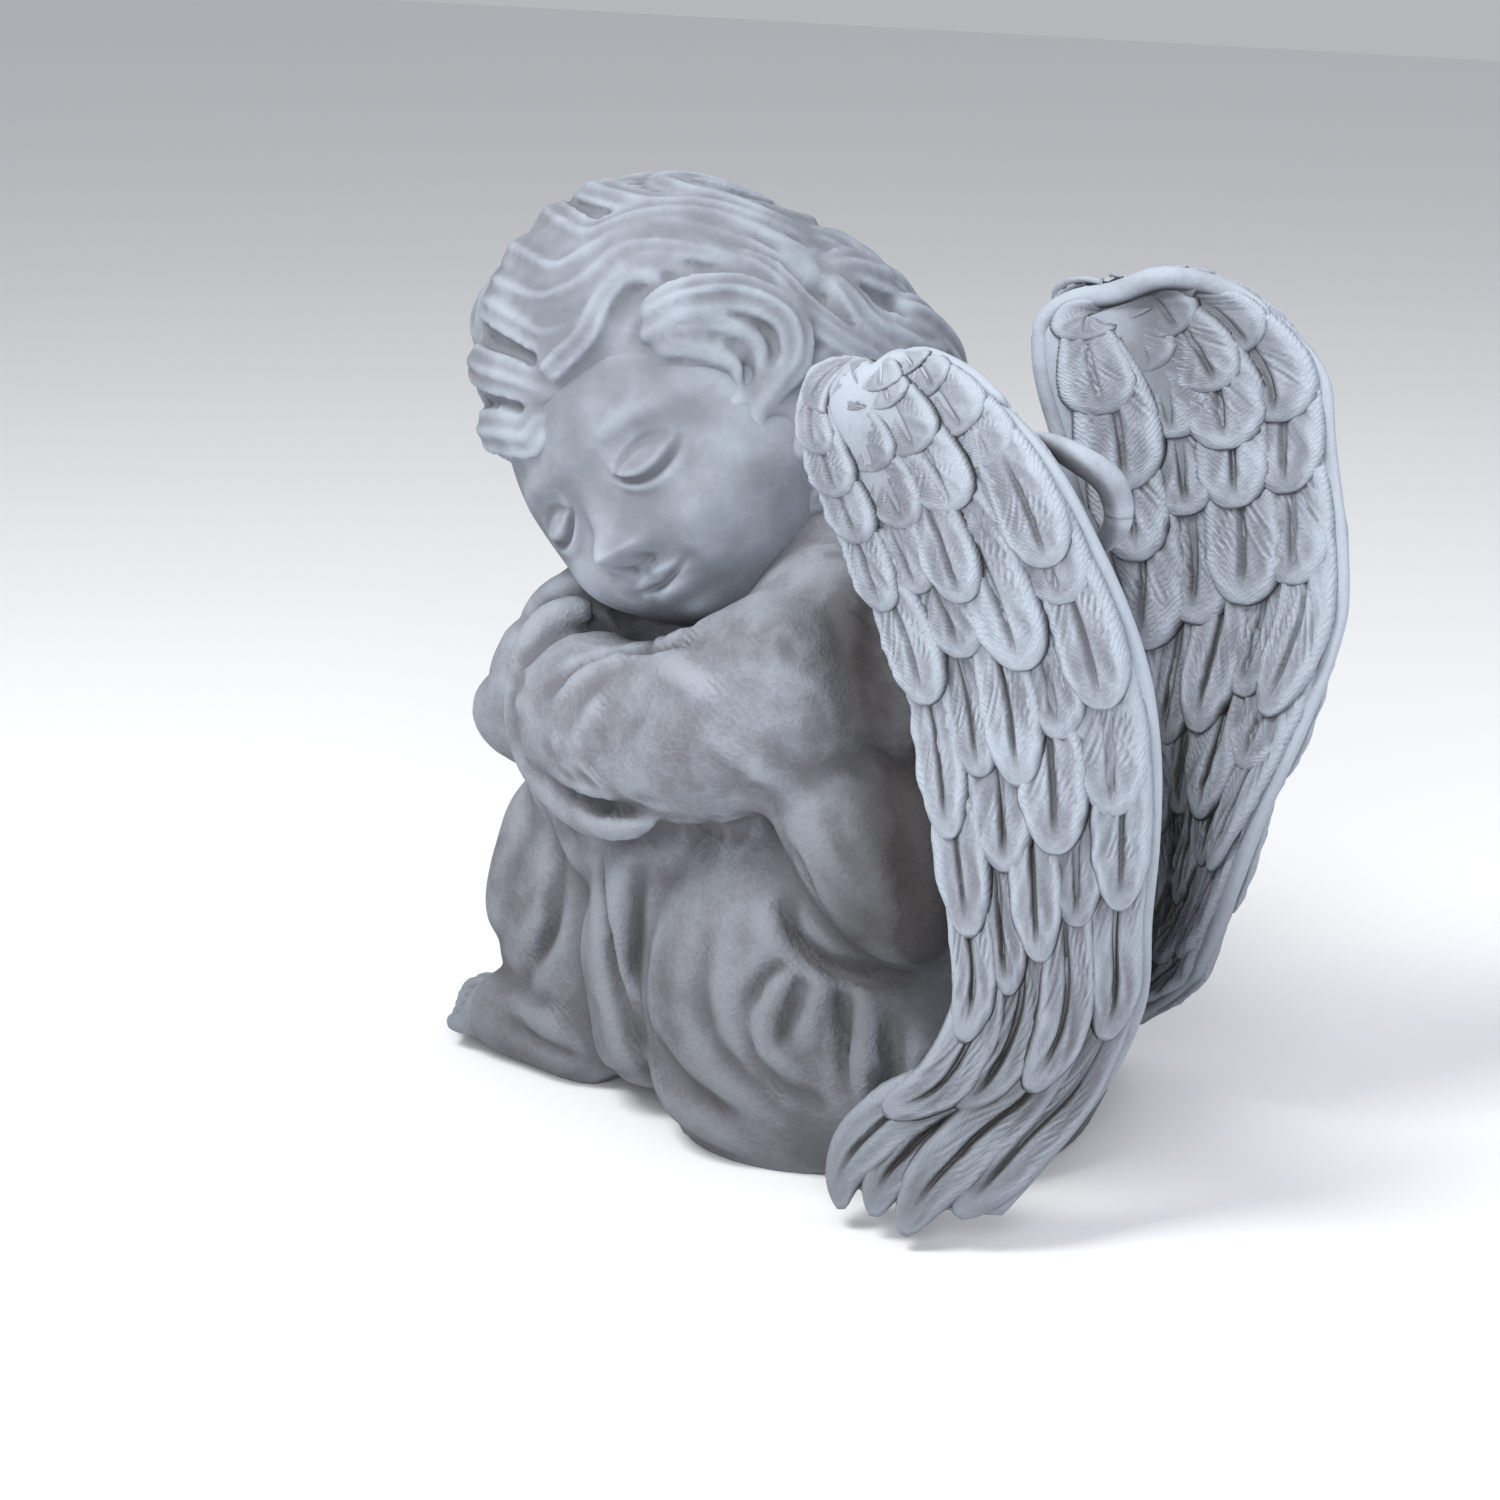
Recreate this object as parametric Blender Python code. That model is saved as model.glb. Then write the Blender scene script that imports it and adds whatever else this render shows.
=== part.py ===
"""A seated cherub that sleeps on its folded arms, with two feathered wings: one solid casting.

The figure faces -Y, its left side is +X and it sits on the plane z = 0.
Places and sizes are in 240ths of the figure's height, which are millimetres at its real size.
"""

import math

import bmesh
import bpy
import numpy as np

# Overall sizes, in metres
FIGURE_HEIGHT = 0.240
FIGURE_LENGTH = 0.240
FIGURE_WIDTH = 0.150

# The grid of the clay, in 240ths of the height
MASS_GRID = 2.4
CARVING_GRID = 1.1
MASS_SMOOTHING = 14
CARVING_SMOOTHING = 3
TRIANGLES = 9800
SHARP_ANGLE = math.radians(38)

# Head: places are (to its left, forward, up) from the middle of the skull
HEAD_CENTRE = (5.0, -38.0, 176.0)
HEAD_FORWARD = (0.98, -0.05, -0.10)
HEAD_UP = (0.05, -0.61, 0.79)
SKULL_HALF_WIDTH = 45.0
SKULL_HALF_DEPTH = 49.0
SKULL_HALF_HEIGHT = 52.0
HAIR_THICKNESS = 9.0
HAIR_SHIFT = np.array([-2.5, -12.0, 8.5])

# Wings
WING_EDGE_THICKNESS = 3.2
WING_SHOULDER_THICKNESS = 9.0
FEATHER_THICKNESS = 3.4
FEATHER_LIFT = 7.0
FEATHER_OVERLAP = 1.36
INNER_RIM = 0.10


def unit(vector):
    """The vector, or each row of an array of them, at length 1."""
    vector = np.asarray(vector, float)
    return vector / np.linalg.norm(vector, axis=-1, keepdims=True)


def smooth_curve(points, count):
    """A smooth curve through the rows of points, read at count even steps of its length."""
    points = np.asarray(points, float)
    steps = np.maximum(np.linalg.norm(np.diff(points[:, :3], axis=0), axis=1), 1e-6)
    knots = np.concatenate([[0.0], np.cumsum(steps)])
    slopes = np.gradient(points, knots, axis=0)
    at = np.linspace(0.0, knots[-1], count)
    i = np.clip(np.searchsorted(knots, at, side="right") - 1, 0, len(knots) - 2)
    gap = (knots[i + 1] - knots[i])[:, None]
    u = (at - knots[i])[:, None] / gap
    return (
        (1 + 2 * u) * (1 - u) ** 2 * points[i]
        + u * (1 - u) ** 2 * gap * slopes[i]
        + u * u * (3 - 2 * u) * points[i + 1]
        + u * u * (u - 1) * gap * slopes[i + 1]
    )


class Clay:
    """Closed forms that are pressed together into one solid."""

    def __init__(self):
        self.points = []
        self.faces = []
        self.count = 0

    def add_grid(self, rings):
        """A closed form from an array of rings, (ring, side, 3), with a pole at each end."""
        rings = np.asarray(rings, float)
        ring_count, sides, _ = rings.shape
        first = self.count
        poles = np.array([rings[0].mean(0), rings[-1].mean(0)])
        self.points.append(np.concatenate([rings.reshape(-1, 3), poles]))
        start, end = first + ring_count * sides, first + ring_count * sides + 1
        for ring in range(ring_count - 1):
            for side in range(sides):
                a = first + ring * sides + side
                b = first + ring * sides + (side + 1) % sides
                self.faces.append((a, b, b + sides, a + sides))
        last = first + (ring_count - 1) * sides
        for side in range(sides):
            after = (side + 1) % sides
            self.faces.append((first + after, first + side, start))
            self.faces.append((last + side, last + after, end))
        self.count = end + 1

    def add_ellipsoid(self, centre, radii, axes=None, rings=18, sides=24):
        """An ellipsoid whose half axes lie along the rows of axes."""
        axes = np.eye(3) if axes is None else np.asarray(axes, float)
        polar = np.linspace(0.02, math.pi - 0.02, rings)[:, None]
        turn = np.linspace(0, 2 * math.pi, sides, endpoint=False)[None, :]
        local = np.stack(
            [
                np.sin(polar) * np.cos(turn) * radii[0],
                np.sin(polar) * np.sin(turn) * radii[1],
                np.cos(polar) * np.ones_like(turn) * radii[2],
            ],
            axis=-1,
        )
        self.add_grid(np.asarray(centre) + local @ axes)

    def add_limb(self, rows, up=(0.0, 0.0, 1.0), rings=22, sides=18, cap=0.16):
        """A limb along rows of (x, y, z, half width, half depth), with rounded ends."""
        line = smooth_curve(rows, rings)
        along = unit(np.gradient(line[:, :3], axis=0))
        across = unit(np.cross(np.broadcast_to(up, along.shape), along))
        out = np.cross(along, across)
        share = np.linspace(0.0, 1.0, rings)
        from_end = np.minimum(share, 1 - share) / cap
        fullness = np.sqrt(np.clip(1 - (1 - np.minimum(from_end, 1)) ** 2, 0.0004, 1))
        turn = np.linspace(0, 2 * math.pi, sides, endpoint=False)
        width = (line[:, 3] * fullness)[:, None, None]
        depth = (line[:, 4] * fullness)[:, None, None]
        self.add_grid(
            line[:, None, :3]
            + across[:, None] * width * np.cos(turn)[None, :, None]
            + out[:, None] * depth * np.sin(turn)[None, :, None]
        )

    def add_object(self, obj):
        """The mesh of an object that is already in the clay's units."""
        mesh = obj.data
        self.points.append(np.array([v.co for v in mesh.vertices], float))
        self.faces += [
            tuple(self.count + v for v in polygon.vertices) for polygon in mesh.polygons
        ]
        self.count += len(mesh.vertices)

    def to_object(self, name):
        mesh = bpy.data.meshes.new(name)
        mesh.from_pydata(np.concatenate(self.points).tolist(), [], self.faces)
        mesh.update()
        obj = bpy.data.objects.new(name, mesh)
        bpy.context.scene.collection.objects.link(obj)
        return obj


def bake_modifiers(obj):
    """The object with its modifiers made part of its mesh."""
    graph = bpy.context.evaluated_depsgraph_get()
    mesh = bpy.data.meshes.new_from_object(obj.evaluated_get(graph))
    obj.modifiers.clear()
    obj.data = mesh
    return obj


def fuse(obj, grid, smoothing):
    """The overlapping forms of a mesh as one skin, on a grid of that size."""
    remesh = obj.modifiers.new("Fuse", "REMESH")
    remesh.mode = "VOXEL"
    remesh.voxel_size = grid
    if smoothing:
        smooth = obj.modifiers.new("Smooth", "SMOOTH")
        smooth.factor = 0.5
        smooth.iterations = smoothing
    return bake_modifiers(obj)


def cut_flat(obj, ground):
    """Everything under the ground taken off, and the cut closed."""
    solid = bmesh.new()
    solid.from_mesh(obj.data)
    everything = list(solid.verts) + list(solid.edges) + list(solid.faces)
    cut = bmesh.ops.bisect_plane(
        solid, geom=everything, plane_co=(0, 0, ground), plane_no=(0, 0, -1), clear_outer=True
    )
    edges = [e for e in cut["geom_cut"] if isinstance(e, bmesh.types.BMEdge)]
    bmesh.ops.holes_fill(solid, edges=edges, sides=0)
    bmesh.ops.triangulate(solid, faces=[f for f in solid.faces if len(f.verts) > 4])
    solid.to_mesh(obj.data)
    solid.free()


def keep_largest_body(obj):
    """Only the largest joined body of the mesh."""
    solid = bmesh.new()
    solid.from_mesh(obj.data)
    left = set(solid.verts)
    bodies = []
    while left:
        seed = left.pop()
        body, front = {seed}, [seed]
        while front:
            for edge in front.pop().link_edges:
                for vert in edge.verts:
                    if vert in left:
                        left.discard(vert)
                        body.add(vert)
                        front.append(vert)
        bodies.append(body)
    bodies.sort(key=len)
    for body in bodies[:-1]:
        bmesh.ops.delete(solid, geom=list(body), context="VERTS")
    solid.to_mesh(obj.data)
    solid.free()


def press(obj, path, width, depth):
    """A soft groove pressed into the skin along a path, or a ridge where its depth is below zero."""
    points = np.empty(len(obj.data.vertices) * 3, np.float32)
    normals = np.empty_like(points)
    obj.data.vertices.foreach_get("co", points)
    obj.data.vertices.foreach_get("normal", normals)
    points, normals = points.reshape(-1, 3), normals.reshape(-1, 3)
    line = smooth_curve(path, 40)
    reach = 3 * width
    near = np.all((points > line.min(0) - reach) & (points < line.max(0) + reach), axis=1)
    apart = np.linalg.norm(points[near][:, None] - line[None], axis=2)
    nearest = apart.argmin(1)
    ends = np.sin(math.pi * np.clip(nearest / (len(line) - 1), 0.04, 0.96)) ** 0.5
    sink = depth * ends * np.exp(-((apart.min(1) / width) ** 2))
    points[near] -= normals[near] * sink[:, None]
    obj.data.vertices.foreach_set("co", points.ravel())
    obj.data.update()


def fit_to_size(obj):
    """The figure at its real size, its box centred on the origin and standing on z = 0."""
    points = np.empty(len(obj.data.vertices) * 3, np.float32)
    obj.data.vertices.foreach_get("co", points)
    points = points.reshape(-1, 3)
    low, high = points.min(0), points.max(0)
    middle = (low + high) / 2
    middle[2] = low[2]
    size = np.array([FIGURE_WIDTH, FIGURE_LENGTH, FIGURE_HEIGHT])
    obj.data.vertices.foreach_set("co", ((points - middle) * size / (high - low)).ravel())
    obj.data.update()


def reduce_to(obj, triangles):
    """The mesh with no more than that many triangles."""
    count = sum(len(p.vertices) - 2 for p in obj.data.polygons)
    decimate = obj.modifiers.new("Reduce", "DECIMATE")
    decimate.ratio = triangles / count
    decimate.use_collapse_triangulate = True
    bake_modifiers(obj)


# Body under the robe: rows of (x, y, z, half width, half depth) along each limb of cloth

LEFT_SLEEVE = (
    (40, 30, 136, 24, 24), (46, 14, 126, 25, 25), (48, -8, 113, 24, 24), (42, -36, 106, 22, 23),
    (27, -66, 108, 21, 22),
)
RIGHT_SLEEVE = (
    (-42, 16, 130, 24, 24), (-46, -26, 118, 24, 23), (-34, -62, 110, 22, 22), (2, -72, 112, 18, 20),
)
SKIRT = (
    (2, -56, 84, 24, 28), (3, -59, 62, 27, 31), (4, -63, 38, 30, 35), (3, -60, 20, 31, 32),
    (0, -50, 4, 36, 26),
)
RIGHT_KNEE = ((-22, -44, 92, 22, 22), (-14, -84, 91, 19, 19), (-5, -117, 88, 16, 15))
SLEEVE_RIM = (
    (26, -56, 134, 4, 5), (33, -66, 126, 5, 6), (41, -68, 112, 5, 6), (46, -63, 99, 5, 6), (50, -52, 89, 5, 6),
    (55, -36, 85, 5, 5), (61, -16, 89, 3, 3),
)


# Strokes of the modelling tool on the left of the robe, and mirrored on the right: a path, then half
# width and depth, which is below zero where the tool leaves a ridge
STROKES = (
    (((48, -45, 76), (46, -44, 64), (48, -40, 52), (48, -38, 40), (48, -34, 29), (45, -29, 14)), 2.4, 6.0),
    (((50, -28, 76), (49, -30, 64), (49, -31, 51), (49, -32, 39), (49, -31, 29), (48, -27, 16)), 2.6, 4.5),
    (((50, -37, 74), (50, -36, 60), (51, -35, 46), (51, -34, 32)), 3.0, -2.6),
    (((50, -22, 74), (53, -23, 58), (54, -23, 44), (54, -22, 30)), 4.0, -2.2),
    (((30, -66, 84), (31, -67, 68), (34, -66, 55), (34, -68, 43), (31, -76, 28)), 3.2, 6.0),
    (((36, -60, 76), (38, -57, 62), (40, -55, 46), (40, -58, 30), (37, -66, 18)), 5.0, -4.0),
    (((63, 17, 98), (62, 18, 88), (56, 17, 76), (56, 20, 66), (54, 28, 59), (50, 36, 56), (46, 46, 55)), 2.6, 6.5),
    (((60, 12, 92), (60, 10, 80), (59, 12, 69), (59, 18, 60)), 4.0, -2.0),
    (((57, 22, 60), (61, 15, 54), (65, 11, 44), (65, 13, 34), (62, 20, 26), (58, 28, 23)), 2.6, 4.5),
    (((60, 21, 57), (63, 17, 51), (65, 15, 44), (64, 17, 36), (62, 23, 30)), 3.2, -4.5),
    (((58, 24, 56), (60, 23, 49), (61, 21, 42), (61, 20, 37)), 2.4, 4.5),
    (((58, 29, 54), (60, 28, 46), (61, 26, 38)), 3.0, -3.0),
    (((53, 32, 57), (54, 34, 48), (56, 35, 39), (58, 36, 28)), 2.4, 5.0),
    (((52, 38, 56), (53, 39, 47), (55, 40, 36), (56, 42, 24)), 3.4, -4.0),
    (((50, 44, 55), (51, 45, 47), (53, 47, 37), (54, 49, 24)), 2.4, 4.5),
    (((48, 51, 55), (50, 52, 44), (51, 55, 28)), 3.4, -3.5),
    (((60, -4, 60), (62, -4, 44), (63, 2, 32), (62, 11, 25), (59, 22, 18)), 4.5, 3.0),
    (((62, 3, 66), (64, 4, 52), (65, 6, 42)), 5.0, -1.8),
    (((45, -27, 20), (54, -14, 12), (60, 1, 7), (62, 12, 3), (62, 30, 2)), 4.2, -4.5),
    (((50, -24, 30), (57, -10, 21), (62, 4, 15), (64, 18, 12)), 3.0, 2.5),
    (((46, -58, 104), (54, -49, 116), (53, -42, 124), (50, -34, 129), (55, -18, 134), (62, -2, 138)), 2.8, 3.4),
    (((58, -44, 118), (58, -36, 125), (57, -26, 130)), 3.6, -2.6),
    (((64, -36, 106), (66, -32, 113), (65, -27, 121)), 4.0, -2.4),
    (((66, -22, 108), (68, -16, 117), (67, -12, 126)), 4.0, 2.2),
    (((63, -12, 132), (69, 0, 130), (71, 9, 128)), 3.4, -2.6),
    (((70, 8, 118), (66, 18, 110), (62, 27, 103)), 4.0, -2.2),
    (((60, -49, 106), (61, -44, 97), (60, -36, 91), (64, -22, 93), (67, -10, 97)), 2.2, 3.0),
    (((34, -79, 15), (39, -66, 12), (38, -54, 9), (46, -34, 12)), 2.0, 2.6),
    (((34, -78, 21), (40, -64, 18), (42, -50, 15)), 3.0, -2.0),
)


def add_trunk(clay):
    """Hips, back, shoulders and neck."""
    clay.add_ellipsoid((0, 32, 26), (58, 42, 44))
    clay.add_ellipsoid((0, 36, 84), (52, 36, 62))
    clay.add_limb([(-44, 18, 128, 25, 25), (0, 14, 138, 26, 26), (44, 18, 128, 25, 25)])
    clay.add_limb([(0, 10, 136, 28, 28), (2, -14, 160, 26, 26)])


def add_side(clay, side):
    """Hip, thigh, waist and the root of the wing, 1 for the left and -1 for the right."""
    clay.add_ellipsoid((23 * side, 6, 37), (40, 42, 60))
    thigh = [(24 * side, -4, 60, 26, 26), (18 * side, -48, 80, 23, 22), (12 * side, -84, 86, 16, 14)]
    clay.add_limb(thigh, cap=0.3)
    shin = [(34 * side, -30, 84, 14, 14), (34 * side, -36, 40, 15, 16), (34 * side, -34, 6, 14, 14)]
    clay.add_limb(shin, up=(0, 1, 0))
    waist = [(44 * side, 18, 106, 17, 19), (47 * side, 30, 80, 17, 22), (43 * side, 50, 65, 18, 18)]
    clay.add_limb(waist, up=(1, 0, 0), cap=0.3)
    root = [(20 * side, 30, 130, 20, 34), (40 * side, 42, 138, 14, 30), (54 * side, 50, 144, 8, 26)]
    clay.add_limb(root, cap=0.2)


def add_robe(clay):
    """The skirt, the lap, the sleeves, the right knee and the folded arms under the cheek."""
    clay.add_limb(SKIRT, up=(0, 1, 0), cap=0.12)
    clay.add_ellipsoid((2, -30, 72), (44, 44, 26))
    clay.add_limb(LEFT_SLEEVE)
    clay.add_limb(RIGHT_SLEEVE, cap=0.2)
    clay.add_limb(RIGHT_KNEE, cap=0.3)
    clay.add_limb([(-24, -34, 122, 26, 20), (26, -30, 122, 24, 18)], cap=0.4)
    clay.add_limb([(-30, -56, 124, 20, 16), (4, -66, 126, 18, 14), (20, -62, 122, 12, 12)], cap=0.3)


def add_folds(clay):
    """The rolled edge of the sleeve, the loose fold by the chin and the drops over the feet."""
    clay.add_limb(SLEEVE_RIM, cap=0.12)
    clay.add_ellipsoid((14, -64, 118), (20, 13, 14))
    leaf = [(14, -60, 138, 8, 4), (9, -72, 131, 12, 6), (4, -84, 119, 10, 6), (2, -90, 112, 5, 4)]
    clay.add_limb(leaf, cap=0.2)
    cuff = [(2, -80, 122, 13, 11), (8, -84, 106, 17, 13), (16, -80, 92, 16, 12)]
    clay.add_limb(cuff, up=(0, 1, 0), cap=0.3)
    drop = [(10, -79, 82, 10, 8), (12, -83, 60, 13, 11), (13, -85, 42, 15, 12), (14, -82, 26, 13, 10)]
    clay.add_limb(drop, up=(0, 1, 0), cap=0.3)
    clay.add_limb([(-x, y + 2, z, w, d) for x, y, z, w, d in drop], up=(0, 1, 0), cap=0.3)


def add_foot(clay, side):
    """A bare foot with five toes, seen below the hem."""
    sole = [(26 * side, -48, 11, 15, 13), (20 * side, -78, 13, 15, 14), (14 * side, -102, 9, 16, 9)]
    clay.add_limb(sole, cap=0.3, rings=26)
    for toe in range(5):
        across = side * (3.0 + 5.6 * toe)
        ahead = -117 + 2.8 * toe
        width = 5.0 - 0.45 * toe
        knuckle = (across + 2 * side, ahead + 16, 9, width, width)
        clay.add_limb([knuckle, (across, ahead, 6.5, width, width * 1.05)], cap=0.4)


# Head


def head_axes():
    """Rows: the directions to the head's left, forward and up."""
    forward = unit(HEAD_FORWARD)
    up = unit(np.asarray(HEAD_UP) - np.dot(HEAD_UP, forward) * forward)
    return np.array([np.cross(up, forward), forward, up])


def to_world(local):
    """A place in the head's own directions, as a place in the figure."""
    return np.asarray(HEAD_CENTRE) + np.asarray(local, float) @ head_axes()


# Forms of the face: distance from its middle, height above it, then the form's own height, half
# width and half height; those beside the middle are on both sides

FACE_FORMS = (
    (23, -22.5, 7, 12, 11), (0, -42, 8, 10, 7.5), (0, 24, 2, 26, 16), (17.5, -2, -3.2, 10, 7.5),
    (17.5, 8, 1.9, 11, 3.4), (17.5, -4, 4.6, 8.5, 5.2), (17.5, -7.5, -1.8, 8, 1.3), (0, -8, 4, 4.6, 9),
    (0, -17, 11, 5.2, 5.2), (6.4, -19.5, 3.8, 2.8, 3.1), (0, -30, 4.2, 15, 10), (3.4, -27.3, 2.3, 4.6, 2),
    (0, -33.2, 3, 6.2, 2.4), (0, -30.2, -2.6, 8.5, 1.1), (0, -37.2, -1.8, 8, 2.3), (14, -31, 1.8, 5, 6),
)
JAW_TAPER = 0.10


def head_point(left, forward, up):
    """A place on the head's ovoid, narrower at the jaw, its front pushed out by the face's forms."""
    left = left * (1 - JAW_TAPER * np.clip(-(up + 14) / 38, 0, 1) ** 1.5)
    front = np.clip(forward / SKULL_HALF_DEPTH, 0, 1) ** 0.6
    rise = 0
    for at_left, at_up, height, width, tall in FACE_FORMS:
        for side in (-1, 1) if at_left else (1,):
            rise = rise + height * np.exp(
                -(((left - side * at_left) / width) ** 2) - ((up - at_up) / tall) ** 2
            )
    return np.stack([left, forward + rise * front, up], -1)


def add_skull(clay):
    """The head with cheeks, nose, closed eyes, lips and chin, as a child's."""
    polar = np.linspace(0.01, math.pi - 0.01, 70)[:, None]
    turn = np.linspace(0, 2 * math.pi, 110, endpoint=False)[None, :]
    rings = head_point(
        SKULL_HALF_WIDTH * np.sin(polar) * np.cos(turn),
        SKULL_HALF_DEPTH * np.cos(polar) + 0 * turn,
        SKULL_HALF_HEIGHT * np.sin(polar) * np.sin(turn),
    )
    clay.add_grid(to_world(rings[:, ::-1]))


# Swells of the hair: a direction (left, forward, up), then height and spread

HAIR_SWELLS = (
    ((-0.73, 0.63, -0.21), -9.0, 0.55),
    ((0.70, -0.36, 0.60), -7.0, 0.36),
    ((0.66, -0.64, -0.38), 7.0, 0.30),
)


def hair_place(around, back):
    """A place on the hair: around the forward line from crown to left, and back from the face."""
    along = np.stack([np.sin(back) * np.sin(around), np.cos(back), np.sin(back) * np.cos(around)], -1)
    radii = np.array([SKULL_HALF_WIDTH, SKULL_HALF_DEPTH, SKULL_HALF_HEIGHT]) + HAIR_THICKNESS
    swell = np.zeros(along.shape[:-1])
    for towards, height, spread in HAIR_SWELLS:
        aside = np.linalg.norm(along - unit(towards), axis=-1)
        swell = swell + height * np.exp(-((aside / spread) ** 2))
    return along * (radii + swell[..., None]) + HAIR_SHIFT


# Locks as rows of (degrees around, degrees back), then half width and height

LOCKS = (
    (((64, 42), (72, 54), (81, 65), (91, 70), (99, 67), (105, 58), (111, 52), (121, 55)), 5.5, 7.0),
    (((68, 38), (76, 49), (84, 57), (93, 60), (100, 57), (105, 51)), 3.2, 4.5),
    (((74, 38), (86, 48), (95, 52), (103, 50)), 3.0, 3.2),
    (((20, 20), (36, 25), (46, 32), (47, 41), (51, 50), (60, 52), (68, 46)), 5.0, 6.0),
    (((-19, 56), (8, 36), (30, 30), (44, 35), (48, 46), (55, 56), (68, 60), (78, 66)), 5.5, 5.5),
    (((-34, 50), (-24, 34), (0, 21), (26, 17), (46, 20)), 5.5, 6.0),
    (((-58, 46), (-52, 30), (-40, 15), (0, 11), (36, 12)), 6.0, 6.5),
    (((-14, 62), (4, 46), (26, 39), (39, 44), (47, 56), (60, 64), (74, 72), (90, 78), (104, 90)), 5.5, 5.5),
    (((-8, 70), (10, 54), (28, 47), (37, 53), (45, 64), (58, 72), (72, 80), (86, 90)), 5.5, 5.5),
    (((2, 80), (20, 62), (33, 57), (43, 66), (56, 78), (70, 88), (84, 102)), 5.5, 5.5),
    (((10, 88), (28, 74), (42, 72), (54, 82), (68, 96), (82, 114)), 5.5, 5.0),
    (((30, 90), (44, 84), (58, 92), (72, 106), (84, 124)), 5.5, 5.0),
    (((66, 68), (78, 74), (90, 76), (101, 84), (110, 98), (118, 116)), 5.0, 4.5),
    (((84, 94), (96, 94), (106, 104), (116, 118), (126, 134)), 6.0, 5.0),
    (((124, 58), (120, 72), (116, 88), (124, 104), (134, 116)), 6.0, 5.5),
    (((140, 60), (134, 78), (132, 96), (140, 112), (150, 122)), 6.0, 5.0),
    (((108, 104), (120, 112), (133, 114), (142, 122), (138, 132), (128, 134)), 7.0, 9.0),
    (((96, 112), (106, 124), (118, 130), (130, 128), (138, 118)), 6.5, 8.0),
    (((126, 98), (138, 104), (150, 112), (156, 124), (148, 132)), 7.0, 9.0),
    (((84, 120), (96, 136), (112, 144), (130, 144)), 6.5, 7.0),
)
BACK_LOCKS = 11


def add_lock(clay, places, width, height):
    """One wavy lock that runs back over the head and ends in a point."""
    path = smooth_curve([(a, b, 0.0) for a, b in places], 30)
    line = to_world(hair_place(np.radians(path[:, 0]), np.radians(path[:, 1])))
    normal = unit(line - to_world(HAIR_SHIFT))
    along = unit(np.gradient(line, axis=0))
    across = unit(np.cross(normal, along))
    u = np.linspace(0, 1, 30)
    fullness = np.clip(1 - ((0.18 - u).clip(0) / 0.19) ** 2, 0.002, 1) ** 0.5
    fullness *= np.clip(1 - ((u - 0.3).clip(0) / 0.72) ** 2, 0.01, 1)
    side = np.linspace(0, 2 * math.pi, 16, endpoint=False)
    clay.add_grid(
        line[:, None]
        + across[:, None] * (1.2 * width * fullness[:, None] * np.cos(side))[..., None]
        + normal[:, None] * (height * fullness[:, None] * np.sin(side))[..., None]
    )


def add_hair(clay):
    """The cap of hair, the locks of the left side, plainer ones on the right and over the back."""
    polar = np.linspace(0.02, math.pi - 0.02, 40)[:, None]
    turn = np.linspace(0, 2 * math.pi, 60, endpoint=False)[None, :]
    clay.add_grid(to_world(hair_place(turn + 0 * polar, polar + 0 * turn)))
    for places, width, height in LOCKS:
        add_lock(clay, places, width, height)
    for k in range(BACK_LOCKS):
        around = -36 - 16 * k
        sway = 6 * math.sin(2.6 * k)
        start = 62 + 16 * math.sin(math.pi * k / BACK_LOCKS) + 5 * math.sin(2 * k)
        bend = around + 10 + sway
        front = [(around, start), (around + 9, start + 18), (bend, start + 38), (around, 128)]
        add_lock(clay, front, 7.0, 5.5)
    for k in range(2 * BACK_LOCKS):
        around = 16.4 * k
        sway = 7 * math.sin(2.1 * k)
        start = 98 + 6 * math.sin(2 * k)
        nape = [(around, start), (around + 12 + sway, 120), (around - 2, 140), (around + 24, 160)]
        add_lock(clay, nape, 7.0, 5.5)


# Wings: rows of (y, z, x) from the top of the left wing to its lowest feathers

WING_FRONT = (
    (42, 207, 60), (32, 204, 58), (26, 196, 56), (30, 181, 54), (41, 161, 53), (49, 138, 53),
    (57, 118, 54), (63, 100, 56), (67, 84, 58), (67, 68, 60), (61, 45, 64), (49, 29, 66),
    (37, 17, 67), (35, 4, 67),
)
WING_BACK = (
    (52, 213, 61), (70, 210, 66), (85, 200, 69), (94, 187, 68), (101, 174, 65), (107, 160, 61),
    (113, 146, 57), (113, 128, 53), (110, 100, 46), (103, 80, 39), (96, 57, 32), (86, 38, 30),
    (77, 20, 36), (71, 3, 52),
)

# Rows of feathers on each face: the ways at which a row starts and ends at the front edge, its
# number of feathers, and how much sooner it ends towards the back edge

OUTER_ROWS = (
    (0.02, 0.085, 3, 0.00), (0.03, 0.165, 4, 0.03), (0.10, 0.265, 4, 0.06), (0.17, 0.345, 4, 0.06),
    (0.22, 0.43, 4, 0.10), (0.33, 0.585, 4, 0.15), (0.42, 0.68, 5, 0.16), (0.50, 0.79, 4, 0.20),
    (0.60, 0.90, 5, 0.16), (0.68, 1.0, 4, 0.08),
)
INNER_ROWS = (
    (0.02, 0.125, 4, 0.02), (0.06, 0.20, 4, 0.03), (0.12, 0.28, 4, 0.04), (0.18, 0.36, 4, 0.05),
    (0.26, 0.475, 4, 0.07), (0.36, 0.615, 4, 0.10), (0.48, 0.71, 4, 0.10), (0.56, 0.80, 4, 0.10),
    (0.64, 0.90, 4, 0.08), (0.70, 1.0, 4, 0.06),
)


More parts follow.
